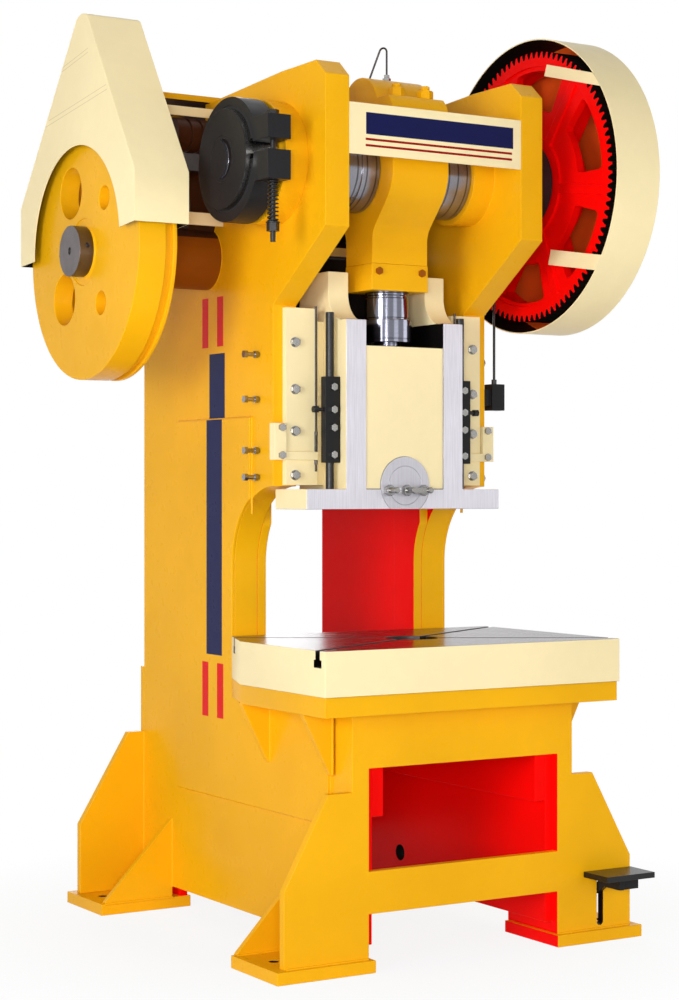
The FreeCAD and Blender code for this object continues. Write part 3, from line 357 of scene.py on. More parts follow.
NAVY = paint(15, 19, 70)
LINE_RED = paint(150, 14, 8)
BAR_RED = paint(224, 6, 10)
CREAM_FILM = (CREAM, 0.34, 0.95)
side_bars = marked("yellow_enamel_with_bars", (YELLOW,), ("X", -0.470, -0.449), [
    bar(BAR_RED, "YZ", 0.213, 0.261, 2.108, 2.290), bar(BAR_RED, "YZ", 0.097, 0.145, 2.108, 2.290),
    bar(BAR_RED, "YZ", 0.190, 0.238, 0.757, 0.956), bar(BAR_RED, "YZ", 0.074, 0.123, 0.757, 0.956),
    bar(NAVY, "YZ", 0.085, 0.205, 0.985, 2.083),
])
board_bars = marked("cream_enamel_with_bars", CREAM_FILM, ("Y", -0.630, -0.6245), [
    bar(NAVY, "XZ", -0.290, 0.322, 2.788, 2.862), bar(LINE_RED, "XZ", -0.292, 0.317, 2.767, 2.775),
    bar(LINE_RED, "XZ", -0.292, 0.317, 2.746, 2.754),
])
print("barred finishes", side_bars.name, board_bars.name)

# %% A finish with painted shade along folds
FOLD_SHADE, FOLD_STRENGTH, FOLD_WIDTH = paint(150, 112, 60), 0.34, 0.0012


def fold(y0, z0, y1, z1):
    """A thin brown line of painted shade along a fold in a sheet, from (y0, z0) to (y1, z1)."""
    def strength_at(parts):
        slope = (z1 - z0) / (y1 - y0)
        level = calc("MULTIPLY_ADD", parts["Y"], slope, z0 - slope * y0)
        above = calc("SUBTRACT", parts["Z"], level)
        return product(within(above, -FOLD_WIDTH, FOLD_WIDTH),
                       within(parts["Y"], y0, y1), FOLD_STRENGTH)
    return FOLD_SHADE, strength_at


hood_cream = marked("cream_enamel_with_folds", CREAM_FILM, ("X", -0.9865, -0.9835), [
    fold(-0.057, 2.963, 0.465, 2.909), fold(-0.050, 2.980, 0.440, 2.928),
    fold(0.099, 3.118, 0.322, 3.086), fold(0.099, 3.132, 0.310, 3.101),
])
print("folded finish", hood_cream.name)

# %% [markdown]
# ## Bare metal
#
# Ground and turned steel looks like steel because of its tool marks. A noise that is
# squeezed along one direction becomes fine lines across it: rings round a turned shaft,
# straight lines on a ground face. They also drive the gloss and a very small bump, so
# highlights stretch across them. A coarse tool's deep grooves are painted as dark rings by
# a wave: painted shade, where the grooves would be in shadow.

# %% The metal finishes
def metal(name, colour, roughness, lines, strength=0.08, metallic=1.0, wear=0.12, shaded_grooves=0.0):
    material, shader, place = start_material(name)
    colour = paint(*colour)
    marks = noise(shade("Mapping", Vector=place, Scale=lines), 6.0, 3.0)
    cloud = spread(noise(place, 7.0, 4.0), 0.35, 0.7, 0.0, 1.0)
    tone = blend_colour(cloud, scaled(colour, 1.0 - wear), scaled(colour, 1.0 + wear / 2))
    tone = blend_colour(spread(marks, 0.35, 0.65, 0.0, 0.35), tone, scaled(colour, 0.72))
    if shaded_grooves:
        # Painted shade: dark rings stand for the shade in a coarse tool's grooves.
        rings = add("ShaderNodeTexWave", {"bands_direction": "X"}, Vector=place,
                    Scale=shaded_grooves, Distortion=0.4).outputs["Fac"]
        tone = blend_colour(spread(rings, 0.88, 1.0, 0.0, 0.8), tone, scaled(colour, 0.1))
    matt = spread(marks, 0.3, 0.7, roughness * 0.8, roughness * 1.35)
    bump = shade("Bump", Strength=strength, Distance=0.001, Height=marks)
    wire(shader, Base_Color=tone, Roughness=matt, Normal=bump, Metallic=metallic)
    return material


LEVEL_LINES = (60.0, 60.0, 1.5)
turned = metal("turned_steel_rings", (150, 150, 158), 0.20, (150.0, 1.5, 1.5), 0.10, 0.86,
               wear=0.3, shaded_grooves=8.2)
screw_steel = metal("polished_screw_steel", (116, 117, 129), 0.13, (1.5, 1.5, 120.0), 0.04)
ground = metal("ground_steel_top", (88, 80, 86), 0.22, (2.0, 90.0, 2.0))
bright = metal("milled_bright_steel", (212, 209, 217), 0.50, LEVEL_LINES, 0.03, 0.55, 0.04)
shank_steel = metal("shank_clamp_steel", (190, 188, 195), 0.45, LEVEL_LINES, 0.03, 0.55, 0.06)
hub_steel = metal("hub_steel", (112, 104, 104), 0.34, (110.0, 2.0, 2.0))
dark_steel = metal("dark_oiled_steel", (70, 66, 66), 0.38, (40.0, 40.0, 40.0))
plated = metal("plated_fastener_steel", (160, 158, 155), 0.22, (90.0, 90.0, 90.0))
iron = metal("black_cast_iron", (44, 43, 44), 0.42, (30.0, 30.0, 30.0), 0.14, 0.35, 0.2)
oily = metal("oil_blackened_steel", (34, 33, 34), 0.30, (60.0, 60.0, 60.0), 0.08, 0.5, 0.2)
bronze = metal("bearing_bronze", (176, 126, 66), 0.32, (90.0, 2.0, 2.0))
lining = metal("woven_brake_lining", (24, 22, 22), 0.85, (30.0, 60.0, 60.0), 0.3, 0.0, 0.25)

SLOT_FINISH = {
    "enamel_yellow": yellow, "enamel_cream": cream, "enamel_red": red, "enamel_black": black,
    "steel_ground": turned, "steel_dark": dark_steel, "fastener_steel": plated,
    "iron_black": iron, "bearing_bronze": bronze, "friction_lining": lining,
}
print("a finish for each of", len(SLOT_FINISH), "slots")

# %% [markdown]
# ## Dressing a CAD solid
#
# A CAD solid has knife-sharp edges, and no sprayed casting or cut plate has such edges.
# The helper below copies the solid's mesh, joins its loose triangles, melts the flat ones
# into whole faces, and rounds each sharp edge by a millimetre or two. Weighted normals
# keep the big faces flat, so that only the rounded edges catch a thin line of light.
#
# Paint is given by a rule, because on this press one solid often carries two finishes: a
# slide is ground on its guides and sprayed elsewhere. A rule is told where a face's middle
# is (at) and which way the face looks (to), and answers with the finish's place in the
# list. Yes and no stand for 1 and 0.

# %% Helpers that turn mesh code into a finished piece
def written(name, mesh, finishes=()):
    """Writes mesh code into mesh data, and frees it."""
    data = bpy.data.meshes.new(name)
    mesh.to_mesh(data)
    mesh.free()
    for finish in finishes:
        data.materials.append(finish)
    return data


def settle(piece):
    """Turns an object and its modifiers into one plain mesh of the same name."""
    graph = bpy.context.evaluated_depsgraph_get()
    data = bpy.data.meshes.new_from_object(piece.evaluated_get(graph), depsgraph=graph)
    piece.modifiers.clear()
    old = piece.data
    piece.data = data
    if old.users == 0:
        bpy.data.meshes.remove(old)
    data.name = piece.name
    return piece


def round_edges(mesh, edges, width, segments=2):
    bmesh.ops.bevel(mesh, geom=edges, offset=width, segments=segments, profile=0.5,
                    affect="EDGES", clamp_overlap=False, loop_slide=True)


def finish_mesh(name, mesh, materials, width=0.0, rule=None, angle=38.0, cuts=()):
    limit = radians(angle)
    for spot, direction in cuts:
        bmesh.ops.bisect_plane(mesh, geom=mesh.verts[:] + mesh.edges[:] + mesh.faces[:],
                               dist=1e-6, plane_co=spot, plane_no=direction)
    if width:
        round_edges(mesh, [e for e in mesh.edges if len(e.link_faces) == 2
                           and e.calc_face_angle(0.0) > limit], width)
    mesh.normal_update()
    for face in mesh.faces:
        face.smooth = True
        face.material_index = int(rule(face.calc_center_median(), face.normal)) if rule else 0
    piece = new_object(name, written(name, mesh, materials))
    piece.data.set_sharp_from_angle(angle=limit)
    piece.modifiers.new("even_normals", "WEIGHTED_NORMAL").keep_sharp = True
    return settle(piece)


def attach(piece, node):
    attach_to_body(piece, BODY_OF[node])
    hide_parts(node)
    print(node, len(piece.data.polygons), "faces")
    return piece


# %% Helper that dresses a solid
# A face looks along an axis when its direction's part there is above the first of these,
# and across the axis when it is below the second.
ALONG, ACROSS = 0.6, 0.5


def add_box(mesh, centre, size):
    place = Matrix.LocRotScale(Vector(centre), None, Vector(size))
    bmesh.ops.create_cube(mesh, size=1.0, matrix=place)


def dress(node, width, materials=None, rule=None, webs=(), cuts=()):
    """Dresses a solid. The width of its rounded edges is in millimetres."""
    mesh = bmesh.new()
    mesh.from_mesh(frame["nodes"][node].data)
    bmesh.ops.remove_doubles(mesh, verts=mesh.verts, dist=3e-6)
    bmesh.ops.dissolve_limit(mesh, angle_limit=radians(0.4), verts=mesh.verts, edges=mesh.edges)
    for low, high in webs:
        low, high = Vector(low), Vector(high)
        add_box(mesh, (low + high) / 2, high - low)
    piece = finish_mesh(node + "_dressed", mesh, materials or [SLOT_FINISH[SLOT_OF[node]]],
                        width * 0.001, rule, cuts=cuts)
    spots = [v.co for v in piece.data.vertices]
    low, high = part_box(node)
    worst = max(max(low[i] - min(p[i] for p in spots), max(p[i] for p in spots) - high[i])
                for i in range(3))
    print(node, "is past its box by", round(worst * 1000, 3), "mm")
    return attach(piece, node)


# %% [markdown]
# ## Side plates
#
# Two heavy plates, flame cut and sprayed, carry everything. Outside they are yellow.
# Between them, from the bed up to the guides, the press is red, so that an operator sees
# the danger zone. The border between the colours is a level cut through the inner face.
#
# The left plate has painted shade behind the flywheel hood, where the hood's shadow
# falls, and so do its two bosses there. A box fills the small notch behind each leg of
# the front plate.

# %% Side plates and their reinforcing plates
IN, OUT = 0.356, 0.450
RED_TOP, RED_FRONT_TOP = 2.2, 0.86
HOOD_Y, HOOD_Z = 0.235, 2.46
NOTCH_IN, NOTCH_OUT = 0.3565, 0.4495
NOTCH_LOW, NOTCH_HIGH = (-0.767, 0.556), (-0.668, 0.849)


def level_cut(z):
    return (0.0, 0.0, z), (0.0, 0.0, 1.0)


def inward(at, to):
    """How straight a face looks towards the press's middle plane, from -1 to 1."""
    return to.x * (1.0 if at.x < 0 else -1.0)


def side_rule(at, to):
    if to.y < -ALONG and at.y < -0.6 and at.z < RED_FRONT_TOP:
        return 1
    return inward(at, to) > ALONG and at.z < RED_TOP and abs(at.x) < IN + 0.002


# Painted shade: the round holes low in the side plates are black inside.
def in_round_hole(at, to):
    return abs(to.x) < ACROSS and 0.12 < at.y < 0.30 and 0.12 < at.z < 0.26


def left_rule(at, to):
    if in_round_hole(at, to):
        return 5
    # Painted shade: the outer face behind and above these takes the yellow darkened as in the
    # hood's shadow.
    if to.x < -ALONG and at.y > HOOD_Y and at.z > HOOD_Z:
        return 4
    # Painted shade: the two bosses behind the hood are dark brown and ochre, as in the hood's
    # shadow.
    if at.x < -OUT - 0.002 and at.y > 0.05:
        return 2 if at.z > 2.5 else 3
    return side_rule(at, to)


def right_rule(at, to):
    return 2 if in_round_hole(at, to) else side_rule(at, to)


left_finishes = [side_bars, red, shade_brown, shade_ochre, with_hood_shade, painted_shade_black]
dress("side_plate_left", 2.0, left_finishes, left_rule,
      webs=[((-NOTCH_OUT, *NOTCH_LOW), (-NOTCH_IN, *NOTCH_HIGH))],
      cuts=[level_cut(RED_TOP), ((0.0, HOOD_Y, 0.0), (0.0, 1.0, 0.0)), level_cut(HOOD_Z)])
dress("side_plate_right", 2.0, [yellow, red, painted_shade_black], right_rule,
      webs=[((NOTCH_IN, *NOTCH_LOW), (NOTCH_OUT, *NOTCH_HIGH))], cuts=[level_cut(RED_TOP)])
dress("throat_doublers", 2.5, [side_bars, red],
      lambda at, to: abs(at.x) < 0.357 and abs(to.x) > ALONG)

# %% [markdown]
# ## Bed, legs and cross plates
#
# The bed plate lies over the side plates and on two red rails. A cut and welded plate
# makes the front with its window and two legs, and a second one makes the back. What
# faces into the press is red, what faces out is yellow. Holes and slots that the light
# doesn't reach, such as those for the foundation bolts, are black.

# %% Bed, legs and cross plates
INSIDE = [((s * IN, 0.0, 0.0), (1.0, 0.0, 0.0)) for s in (-1, 1)]
BOLT_X, BOLT_Y, BOLT_HOLE = 0.668, 0.66, 0.022


def front_rule(at, to):
    in_leg_slot = 0.5 < abs(at.x) < 0.62 and at.z < 0.3
    if in_leg_slot and inward(at, to) > -0.9 and abs(to.y) < ACROSS:
        return 2
    return inward(at, to) > ALONG or to.y > ALONG and abs(at.x) < IN


def pad_rule(at, to):
    from_bolt = hypot(abs(at.x) - BOLT_X, abs(at.y) - BOLT_Y)
    if abs(to.z) < ACROSS and from_bolt < BOLT_HOLE:
        return 2
    return at.x * to.x < 0.0 and abs(to.x) > ALONG


# Painted shade: above the red, the back web's faces are black, as deep in the throat's shade.
def web_rule(at, to):
    return 2 if to.y > ALONG else at.z > RED_TOP + 0.005


dress("front_plate", 2.0, [yellow, red, painted_shade_black], front_rule, cuts=INSIDE)
dress("rear_plate", 2.0, [yellow, red],
      lambda at, to: to.y < -ALONG and abs(at.x) < IN, cuts=INSIDE)
dress("bed_plate", 2.0)
dress("bed_rails", 2.0)
dress("bed_gussets", 1.5)
dress("foot_pads", 2.5, [yellow, red, painted_shade_black], pad_rule)
dress("leg_gussets", 1.5)
dress("leg_feet_bars", 1.5, [red])
dress("back_web", 1.5, [red, painted_shade_black, yellow], web_rule, cuts=[level_cut(RED_TOP)])
# Painted shade: the cross ribs' front faces below the top are black, and so is the whole tie tube.
dress("cross_ribs", 1.5, [yellow, painted_shade_black], lambda at, to: to.y < -ALONG and at.z < 3.0)
dress("tie_tube", 1.5, [painted_shade_black])
# Painted shade: the deck's underside is dark brown, as in shadow.
dress("motor_deck", 1.2, [yellow, shade_brown], lambda at, to: to.z < -ALONG)
dress("name_board", 0.8, [board_bars])

# %% [markdown]
# ## Bolster
#
# Dies are clamped to this thick plate. Its top is ground bright, its sides are sprayed
# cream, and the T slots and the hole are left as they were machined, dark with oil.

# %% Bolster
BOLSTER_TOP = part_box("bolster_plate")[1][2]


def bolster_rule(at, to):
    if to.z > ALONG and at.z > BOLSTER_TOP - 0.004:
        return 0
    outer = abs(at.x) > 0.595 or at.y < -0.868 or at.y > -0.066
    chamfer = at.x < -0.49 and to.x < -0.5 and to.y > 0.1
    return 1 if (outer or chamfer) and at.z > 0.9 and abs(to.z) < ALONG else 2


dress("bolster_plate", 1.5, [ground, cream, dark_steel], bolster_rule)

# %% [markdown]
# ## Slide
#
# The slide is one casting. Its front bands and the flange that carries the upper die
# are milled bright. The panel between them, the horns and the flange ends are cream, and
# the hollow for the screw is left dark. Two level cuts through the mesh give the paint
# its borders.

# %% Slide
SLIDE_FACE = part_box("slide")[0][1] + 0.003
BAND_TOP = 2.180
FLANGE_TOP = 1.588


def slide_rule(at, to):
    x, z = abs(at.x), at.z
    front = to.y < -ALONG
    on_face = front and at.y < SLIDE_FACE
    if z < FLANGE_TOP + 0.003 and at.y < -0.2:
        if on_face:
            return 1
        return 0 if x > 0.24 and to.z > -ALONG else 2
    if z > BAND_TOP + 0.002:
        return 0 if x > 0.161 else 2
    if on_face:
        return 1 if x > 0.1605 else 0
    if x < 0.1625 and z > 2.08:
        return 3
    if front and x < 0.1625:
        return 0
    if x > 0.2435 and (abs(to.x) > ALONG and x < 0.247 or front):
        return 0
    return 2


dress("slide", 2.0, [cream, bright, dark_steel, oily], slide_rule,
      cuts=[level_cut(BAND_TOP + 0.001), level_cut(FLANGE_TOP + 0.001)])
dress("shank_clamp", 1.0, [shank_steel])
dress("knockout_tubes", 0.8, [oily])
dress("knockout_blocks", 1.5)
dress("slide_gibs", 1.2)
dress("stop_brackets", 1.2)
dress("stop_rods", 0.4, [dark_steel, oily], lambda at, to: 1.7195 < at.z < 1.7775)
dress("trip_rod", 0.4, [oily])
dress("trip_block", 1.2)

# %% [markdown]
# ## Crank, rod and screw
#
# The crankshaft is turned steel with rings of tool marks round its axis. The rod and its
# cap are sprayed yellow and run on bronze. Under the rod a split clamp holds the
# adjusting screw, whose ball sits in the slide.

# %% Crank and rod
CRANK = Vector((0.0, -0.300, 2.715))
CRANK_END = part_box("crankshaft")[0][0]


def shaft_rule(at, to):
    if at.x < CRANK_END + 0.002:
        return 1
    # Painted shade: the recess round the shaft's end is black.
    return 2 if at.x < CRANK_END + 0.04 and to.x < -0.5 else 0


dress("crankshaft", 1.5, [turned, black, painted_shade_black], shaft_rule)
dress("connecting_rod", 2.5)
dress("rod_cap", 2.5)
dress("screw_clamp", 2.0)
dress("main_bushes", 0.6)
dress("crank_pin_bush", 0.6)
dress("grease_fitting", 0.4)
dress("clutch_hub", 1.5)

# %% [markdown]
# ## Flywheel side
#
# The flywheel turns on the back shaft. Its hub is bare turned steel. A cream sheet hood
# covers its top half, folded from thin plate, so its edges stay crisp and only the folds
# are soft. The shaft is drawn in by a running fit, so that it clears the side plates in
# every position.

# %% Flywheel, its hub and its hood
RUNNING_FIT = 0.0006
HOOD_LEFT, HOOD_RIGHT = (corner[0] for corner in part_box("belt_guard"))
HOOD_AXIS = (0.19, 2.44)


def outward(axis, at, to):
    """Above zero where a face looks away from an axis (y, z) that runs along X."""
    return (at.y - axis[0]) * to.y + (at.z - axis[1]) * to.z


# Painted shade: the hood's inside faces are black, as in its own shadow.
def hood_rule(at, to):
    if abs(to.x) > ALONG:
        return HOOD_LEFT + 0.002 <= at.x <= HOOD_RIGHT - 0.002
    deep = HOOD_LEFT + 0.0035 < at.x < HOOD_RIGHT - 0.0035
    return deep and outward(HOOD_AXIS, at, to) < 0.0


dress("flywheel", 2.5)
dress("flywheel_hub", 1.0, [hub_steel])
back_shaft = dress("back_shaft", 1.0)
axis_low, axis_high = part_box("back_shaft")
for corner in back_shaft.data.vertices:
    spoke = Vector((0.0, *(corner.co[i] - (axis_low[i] + axis_high[i]) / 2 for i in (1, 2))))
    if spoke.length > 0.03:
        corner.co -= spoke.normalized() * RUNNING_FIT
dress("belt_guard", 1.0, [hood_cream, painted_shade_black], hood_rule)
dress("guard_brackets", 0.8)

# %% [markdown]
# ## Gear guard
#
# A rolled band with a thin front disc covers the two gears. Outside it is cream. Inside,
# the disc shows its red-brown primer, darkened with painted shade, and the band is painted
# black as shade. The rule asks whether a face looks towards the gear's axis or back along it.

# %% Gear guard
pinion_low, pinion_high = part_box("pinion")
SHAFT = (Vector(pinion_low) + Vector(pinion_high)) / 2
GUARD_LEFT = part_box("gear_guard")[0][0]


# Painted shade: inside the band the faces are black; the disc's inner face takes the darkened
# primer.
def guard_rule(at, to):
    if to.x < -0.5:
        return at.x >= GUARD_LEFT + 0.003
    centre = SHAFT if at.y > 0.215 else CRANK
    inside = outward(centre.yz, at, to) < 0.0
    return 2 if inside and to.x <= 0.5 else 0


dress("gear_guard", 0.8, [cream, shade_red, painted_shade_black], guard_rule)
dress("gear_guard_straps", 0.8)

# %% [markdown]
# ## Band brake
#
# A black band lined with woven cloth grips a drum on the crankshaft's left end. The
# drum's rim is rubbed bright, and the plate behind it is yellow like the frame. The
# band's two lugs are drawn together by a long bolt with a spring under it.

# %% Brake
def drum_rule(at, to):
    return abs(to.x) < ACROSS and at.x > CRANK_END + 0.004


dress("brake_drum", 1.5, [black, plated], drum_rule)
dress("brake_lining", 0.5)
dress("brake_band", 1.5, [black])
dress("brake_backing", 1.0, [yellow])

# %% [markdown]
# ## Copies in a ring
#
# Gear teeth are one shape repeated round an axis. A Geometry Nodes tree does that with
# very little: it makes one point per copy, all at the centre, turns each copy by its
# own share of a full circle, and turns the instances into real mesh. The same tree
# serves the teeth of both gears and the six arms of the big one.

# %% Helpers for Geometry Nodes
def geo(kind, options=None, **sockets):
    """Makes a geometry node and gives its first output."""
    return add("GeometryNode" + kind, options, **sockets).outputs[0]


def open_tree(name, **sockets):
    """Starts a tree with named inputs, such as First_angle="Float" for First angle."""
    tree = bpy.data.node_groups.new(name, "GeometryNodeTree")
    tree.interface.new_socket("Geometry", in_out="OUTPUT", socket_type="NodeSocketGeometry")
    for label, kind in sockets.items():
        tree.interface.new_socket(label.replace("_", " "), in_out="INPUT",
                                  socket_type="NodeSocket" + kind)
    OPEN.append(tree)
    return add("NodeGroupInput").outputs


def close_tree(geometry, finish):
    whole = geo("RealizeInstances", Geometry=geometry)
    painted = geo("SetMaterial", Geometry=whole, Material=finish)
    add("NodeGroupOutput", Geometry=painted)
    print("tree", OPEN[-1].name, "with", len(OPEN[-1].nodes), "nodes")
    return OPEN[-1]


def run_tree(name, tree, base=None, **values):
    piece = new_object(name, base or bpy.data.meshes.new(name + "_seed"))
    grown = piece.modifiers.new(tree.name, "NODES")
    grown.node_group = tree
    inputs = {item.name.replace(" ", "_"): item.identifier
              for item in tree.interface.items_tree if item.in_out == "INPUT"}
    for label, value in values.items():
        grown[inputs[label]] = value
    return settle(piece)


# %% Geometry Nodes: copies in a ring
given = open_tree("copies_in_a_ring", Piece="Object", Copies="Int", First_angle="Float",
                  Centre="Vector", Finish="Material")
points = geo("Points", Count=given["Copies"], Position=given["Centre"])
share = calc("DIVIDE", geo("InputIndex"), given["Copies"])
turn = calc("ADD", calc("MULTIPLY", share, tau), given["First angle"])
shape = add("GeometryNodeObjectInfo", Object=given["Piece"]).outputs["Geometry"]
copies = geo("InstanceOnPoints", Points=points, Instance=shape,
             Rotation=shade("CombineXYZ", X=turn))
ring_tree = close_tree(copies, given["Finish"])

# %% [markdown]
# ## Bull gear
#
# The bull gear gives the press its slow, strong stroke: 98 teeth of module 10. A tooth's
# flank is an involute, the path of a taut string's end as it unwinds from a circle. The
# wheel is a profile swept round the axis, and six windows are cut through its web. Arms
# and teeth come from the ring tree.

# %% Helpers that skin rows of vertices
def skin(mesh, rows, around=False, closed=True, caps=()):
    """Fills the squares between the rows, adds the caps and turns all faces outwards."""
    count = len(rows[0])
    for one, two in zip(rows, rows[1:] + (rows[:1] if around else [])):
        for k in range(count if closed else count - 1):
            n = (k + 1) % count
            mesh.faces.new((one[k], one[n], two[n], two[k]))
    for cap in caps:
        mesh.faces.new(cap)
    bmesh.ops.recalc_face_normals(mesh, faces=mesh.faces)
    return mesh


def sweep(mesh, profile, segments, centre=(0.0, 0.0), upright=False):
    """Sweeps (along, radius) corners round an axis along X, or round an upright one. The
    profile is closed round X. Round an upright axis it is open, and gets two caps."""
    rows = []
    for k in range(segments):
        a = tau * k / segments
        row = []
        for along, r in profile:
            across = centre[0] + r * cos(a), centre[1] + r * sin(a)
            row.append(mesh.verts.new((*across, along) if upright else (along, *across)))
        rows.append(row)
    caps = [[row[end] for row in rows] for end in (0, -1)] if upright else ()
    return skin(mesh, rows, around=True, closed=not upright, caps=caps)


def join(name, parts):
    """Joins finished plain meshes into one piece."""
    mesh = bmesh.new()
    finishes = []
    for part in parts:
        own = list(part.data.materials)
        start = len(mesh.faces)
        mesh.from_mesh(part.data)
        mesh.faces.ensure_lookup_table()
        for face in mesh.faces[start:]:
            finish = own[min(face.material_index, len(own) - 1)]
            if finish not in finishes:
                finishes.append(finish)
            face.material_index = finishes.index(finish)
        bpy.data.objects.remove(part)
    return new_object(name, written(name, mesh, finishes))


# %% One involute tooth
MODULE = 0.010
PRESSURE_ANGLE = radians(20.0)
BACKLASH, TOOTH_CHAMFER = 0.0008, 0.0012


def involute(base, radius):
    angle = acos(min(1.0, base / radius))
    return tan(angle) - angle


def tooth_data(name, teeth, x0, x1):
    pitch = MODULE * teeth / 2
    base = pitch * cos(PRESSURE_ANGLE)
    root, tip = pitch - 1.25 * MODULE, pitch + MODULE
    half = (pi * MODULE / 2 - BACKLASH) / 2 / pitch + involute(base, pitch)
    low = max(base, root) + 0.0004
    wide = half - involute(base, low)
    flank = [(root - 0.0015, wide + 0.006), (root + 0.0006, wide + 0.002)]
    for k in range(1, 6):
        r = low + (tip - low) * k / 5
        flank.append((r, half - involute(base, r)))
    outline = [(r, -a) for r, a in flank] + [(r, a) for r, a in reversed(flank)]
    mesh = bmesh.new()
    rows = []
    for x, shrink in ((x0, TOOTH_CHAMFER), (x0 + TOOTH_CHAMFER, 0.0),
                      (x1 - TOOTH_CHAMFER, 0.0), (x1, TOOTH_CHAMFER)):
        row = []
        for r, a in outline:
            r2 = r - shrink if r > tip - 0.004 else r
            a2 = a - copysign(shrink / r, a) * 0.7
            row.append(mesh.verts.new((x, r2 * cos(a2), r2 * sin(a2))))
        rows.append(row)
    return written(name, skin(mesh, rows, closed=False, caps=(rows[0], rows[-1])))


# %% The wheel with its windows
gear_x0, gear_x1 = (corner[0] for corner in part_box("bull_gear"))
web_x0, web_x1 = gear_x0 + 0.010, gear_x0 + 0.042
BORE, HUB_OUT, RIM_IN, ROOT = 0.0852, 0.190, 0.445, 0.4775
ARMS, ARM_TURN = 6, radians(8.0)
WINDOW_IN, WINDOW_OUT = (0.286, 18.5), (0.430, 19.8)
WINDOW_CORNER, WINDOW_STEPS = 0.018, 6


def ring_of(name, data, count, first, centre, finish):
    shape = bpy.data.objects.new(data.name, data)
    return run_tree(name, ring_tree, Piece=shape, Copies=count, First_angle=first,
                    Centre=tuple(centre), Finish=finish)


def window_prism(x0, x1):
    """A prism along X over a fan with rounded corners, to cut one window with."""
    mesh = bmesh.new()
    flat = []
    for sign, (radius, half) in ((1, WINDOW_IN), (-1, WINDOW_OUT)):
        for k in range(WINDOW_STEPS + 1):
            a = radians(sign * (2 * half * k / WINDOW_STEPS - half))
            flat.append(mesh.verts.new((x0, radius * cos(a), radius * sin(a))))
    grown = bmesh.ops.extrude_face_region(mesh, geom=[mesh.faces.new(flat)])["geom"]
    bmesh.ops.translate(mesh, vec=(x1 - x0, 0, 0),
                        verts=[v for v in grown if isinstance(v, bmesh.types.BMVert)])
    corners = [e for e in mesh.edges if abs(e.verts[0].co.x - e.verts[1].co.x) > 0.001
               and e.calc_face_angle(0.0) > radians(40.0)]
    round_edges(mesh, corners, WINDOW_CORNER, 5)
    bmesh.ops.recalc_face_normals(mesh, faces=mesh.faces)
    return written("window_cutter", mesh)


# Painted shade: the rim between the teeth is black.
def wheel_rule(at, to):
    from_axis = hypot(at.y - CRANK.y, at.z - CRANK.z)
    return abs(to.x) < ACROSS and from_axis > ROOT - 0.004


blank = new_object("wheel_blank", written("wheel_blank", sweep(bmesh.new(), [
    (gear_x0, BORE), (gear_x1, BORE), (gear_x1, HUB_OUT), (web_x1, HUB_OUT), (web_x1, RIM_IN),
    (gear_x1, RIM_IN), (gear_x1, ROOT), (gear_x0, ROOT), (gear_x0, RIM_IN), (web_x0, RIM_IN),
    (web_x0, HUB_OUT), (gear_x0, HUB_OUT),
], 180)))
cutters = ring_of("window_cutters", window_prism(gear_x0 - 0.01, gear_x1 + 0.01), ARMS,
                  ARM_TURN + pi / ARMS, (0.0, 0.0, 0.0), red)
opened = blank.modifiers.new("open_windows", "BOOLEAN")
opened.operation = "DIFFERENCE"
opened.object = cutters
opened.solver = "EXACT"
settle(blank)
body = bmesh.new()
body.from_mesh(blank.data)
bmesh.ops.remove_doubles(body, verts=body.verts, dist=2e-6)
bmesh.ops.translate(body, vec=CRANK, verts=body.verts)
for used in (cutters, blank):
    bpy.data.objects.remove(used)
wheel = finish_mesh("wheel_body", body, [red, painted_shade_black], 0.0015, wheel_rule)
print("wheel", len(wheel.data.polygons), "faces")

# %% Arms, teeth and pinion
GEAR_TEETH, PINION_TEETH = 98, 20
mesh_angle = atan2(SHAFT.z - CRANK.z, SHAFT.y - CRANK.y)

arm = bmesh.new()
add_box(arm, ((gear_x0 + gear_x1) / 2, (HUB_OUT + RIM_IN) / 2, 0.0),
        (gear_x1 - gear_x0 - 0.002, RIM_IN - HUB_OUT + 0.02, 0.036))
bmesh.ops.bevel(arm, geom=arm.edges[:], offset=0.003, segments=2, profile=0.5, affect="EDGES")
arms = ring_of("gear_arms", written("gear_arm", arm), ARMS, ARM_TURN, CRANK, red)
teeth = ring_of("gear_teeth", tooth_data("gear_tooth", GEAR_TEETH, gear_x0, gear_x1),
                GEAR_TEETH, mesh_angle, CRANK, red)
teeth.data.materials.clear()
for finish in (red, painted_shade_black):
    teeth.data.materials.append(finish)
# Painted shade: the tooth flanks are black, as in the shade between the teeth; their ends stay red.
for face in teeth.data.polygons:
    face.material_index = int(abs(face.normal.x) < 0.6)
attach(join("bull_gear_dressed", [wheel, arms, teeth]), "bull_gear")

pin_x0, pin_x1 = pinion_low[0], pinion_high[0]
small = sweep(bmesh.new(), [(pin_x0, 0.0452), (pin_x1, 0.0452), (pin_x1, 0.0875),
                            (pin_x0, 0.0875)], 72, (SHAFT.y, SHAFT.z))
small = finish_mesh("pinion_body", small, [dark_steel], 0.001)
teeth = ring_of("pinion_teeth", tooth_data("pinion_tooth", PINION_TEETH, pin_x0, pin_x1),
                PINION_TEETH, mesh_angle + pi + pi / PINION_TEETH,
                (0.0, SHAFT.y, SHAFT.z), dark_steel)
attach(join("pinion_dressed", [small, teeth]), "pinion")

# %% [markdown]
# ## Hexagon fasteners
#
# The press carries dozens of bolts and nuts in a few sizes. One hexagon head is drawn
# well: its top corners are turned off at thirty degrees, which leaves the small curved
# shoulders of a real bolt. A second tree sets one on each point of a list. Every point
# carries its own direction, width and height, and, for a stud, the length that stands out
# of the nut.

# %% One hexagon head
FLAT, SIDE_STEPS = 0.5, 4
SLANT = tan(radians(30.0))


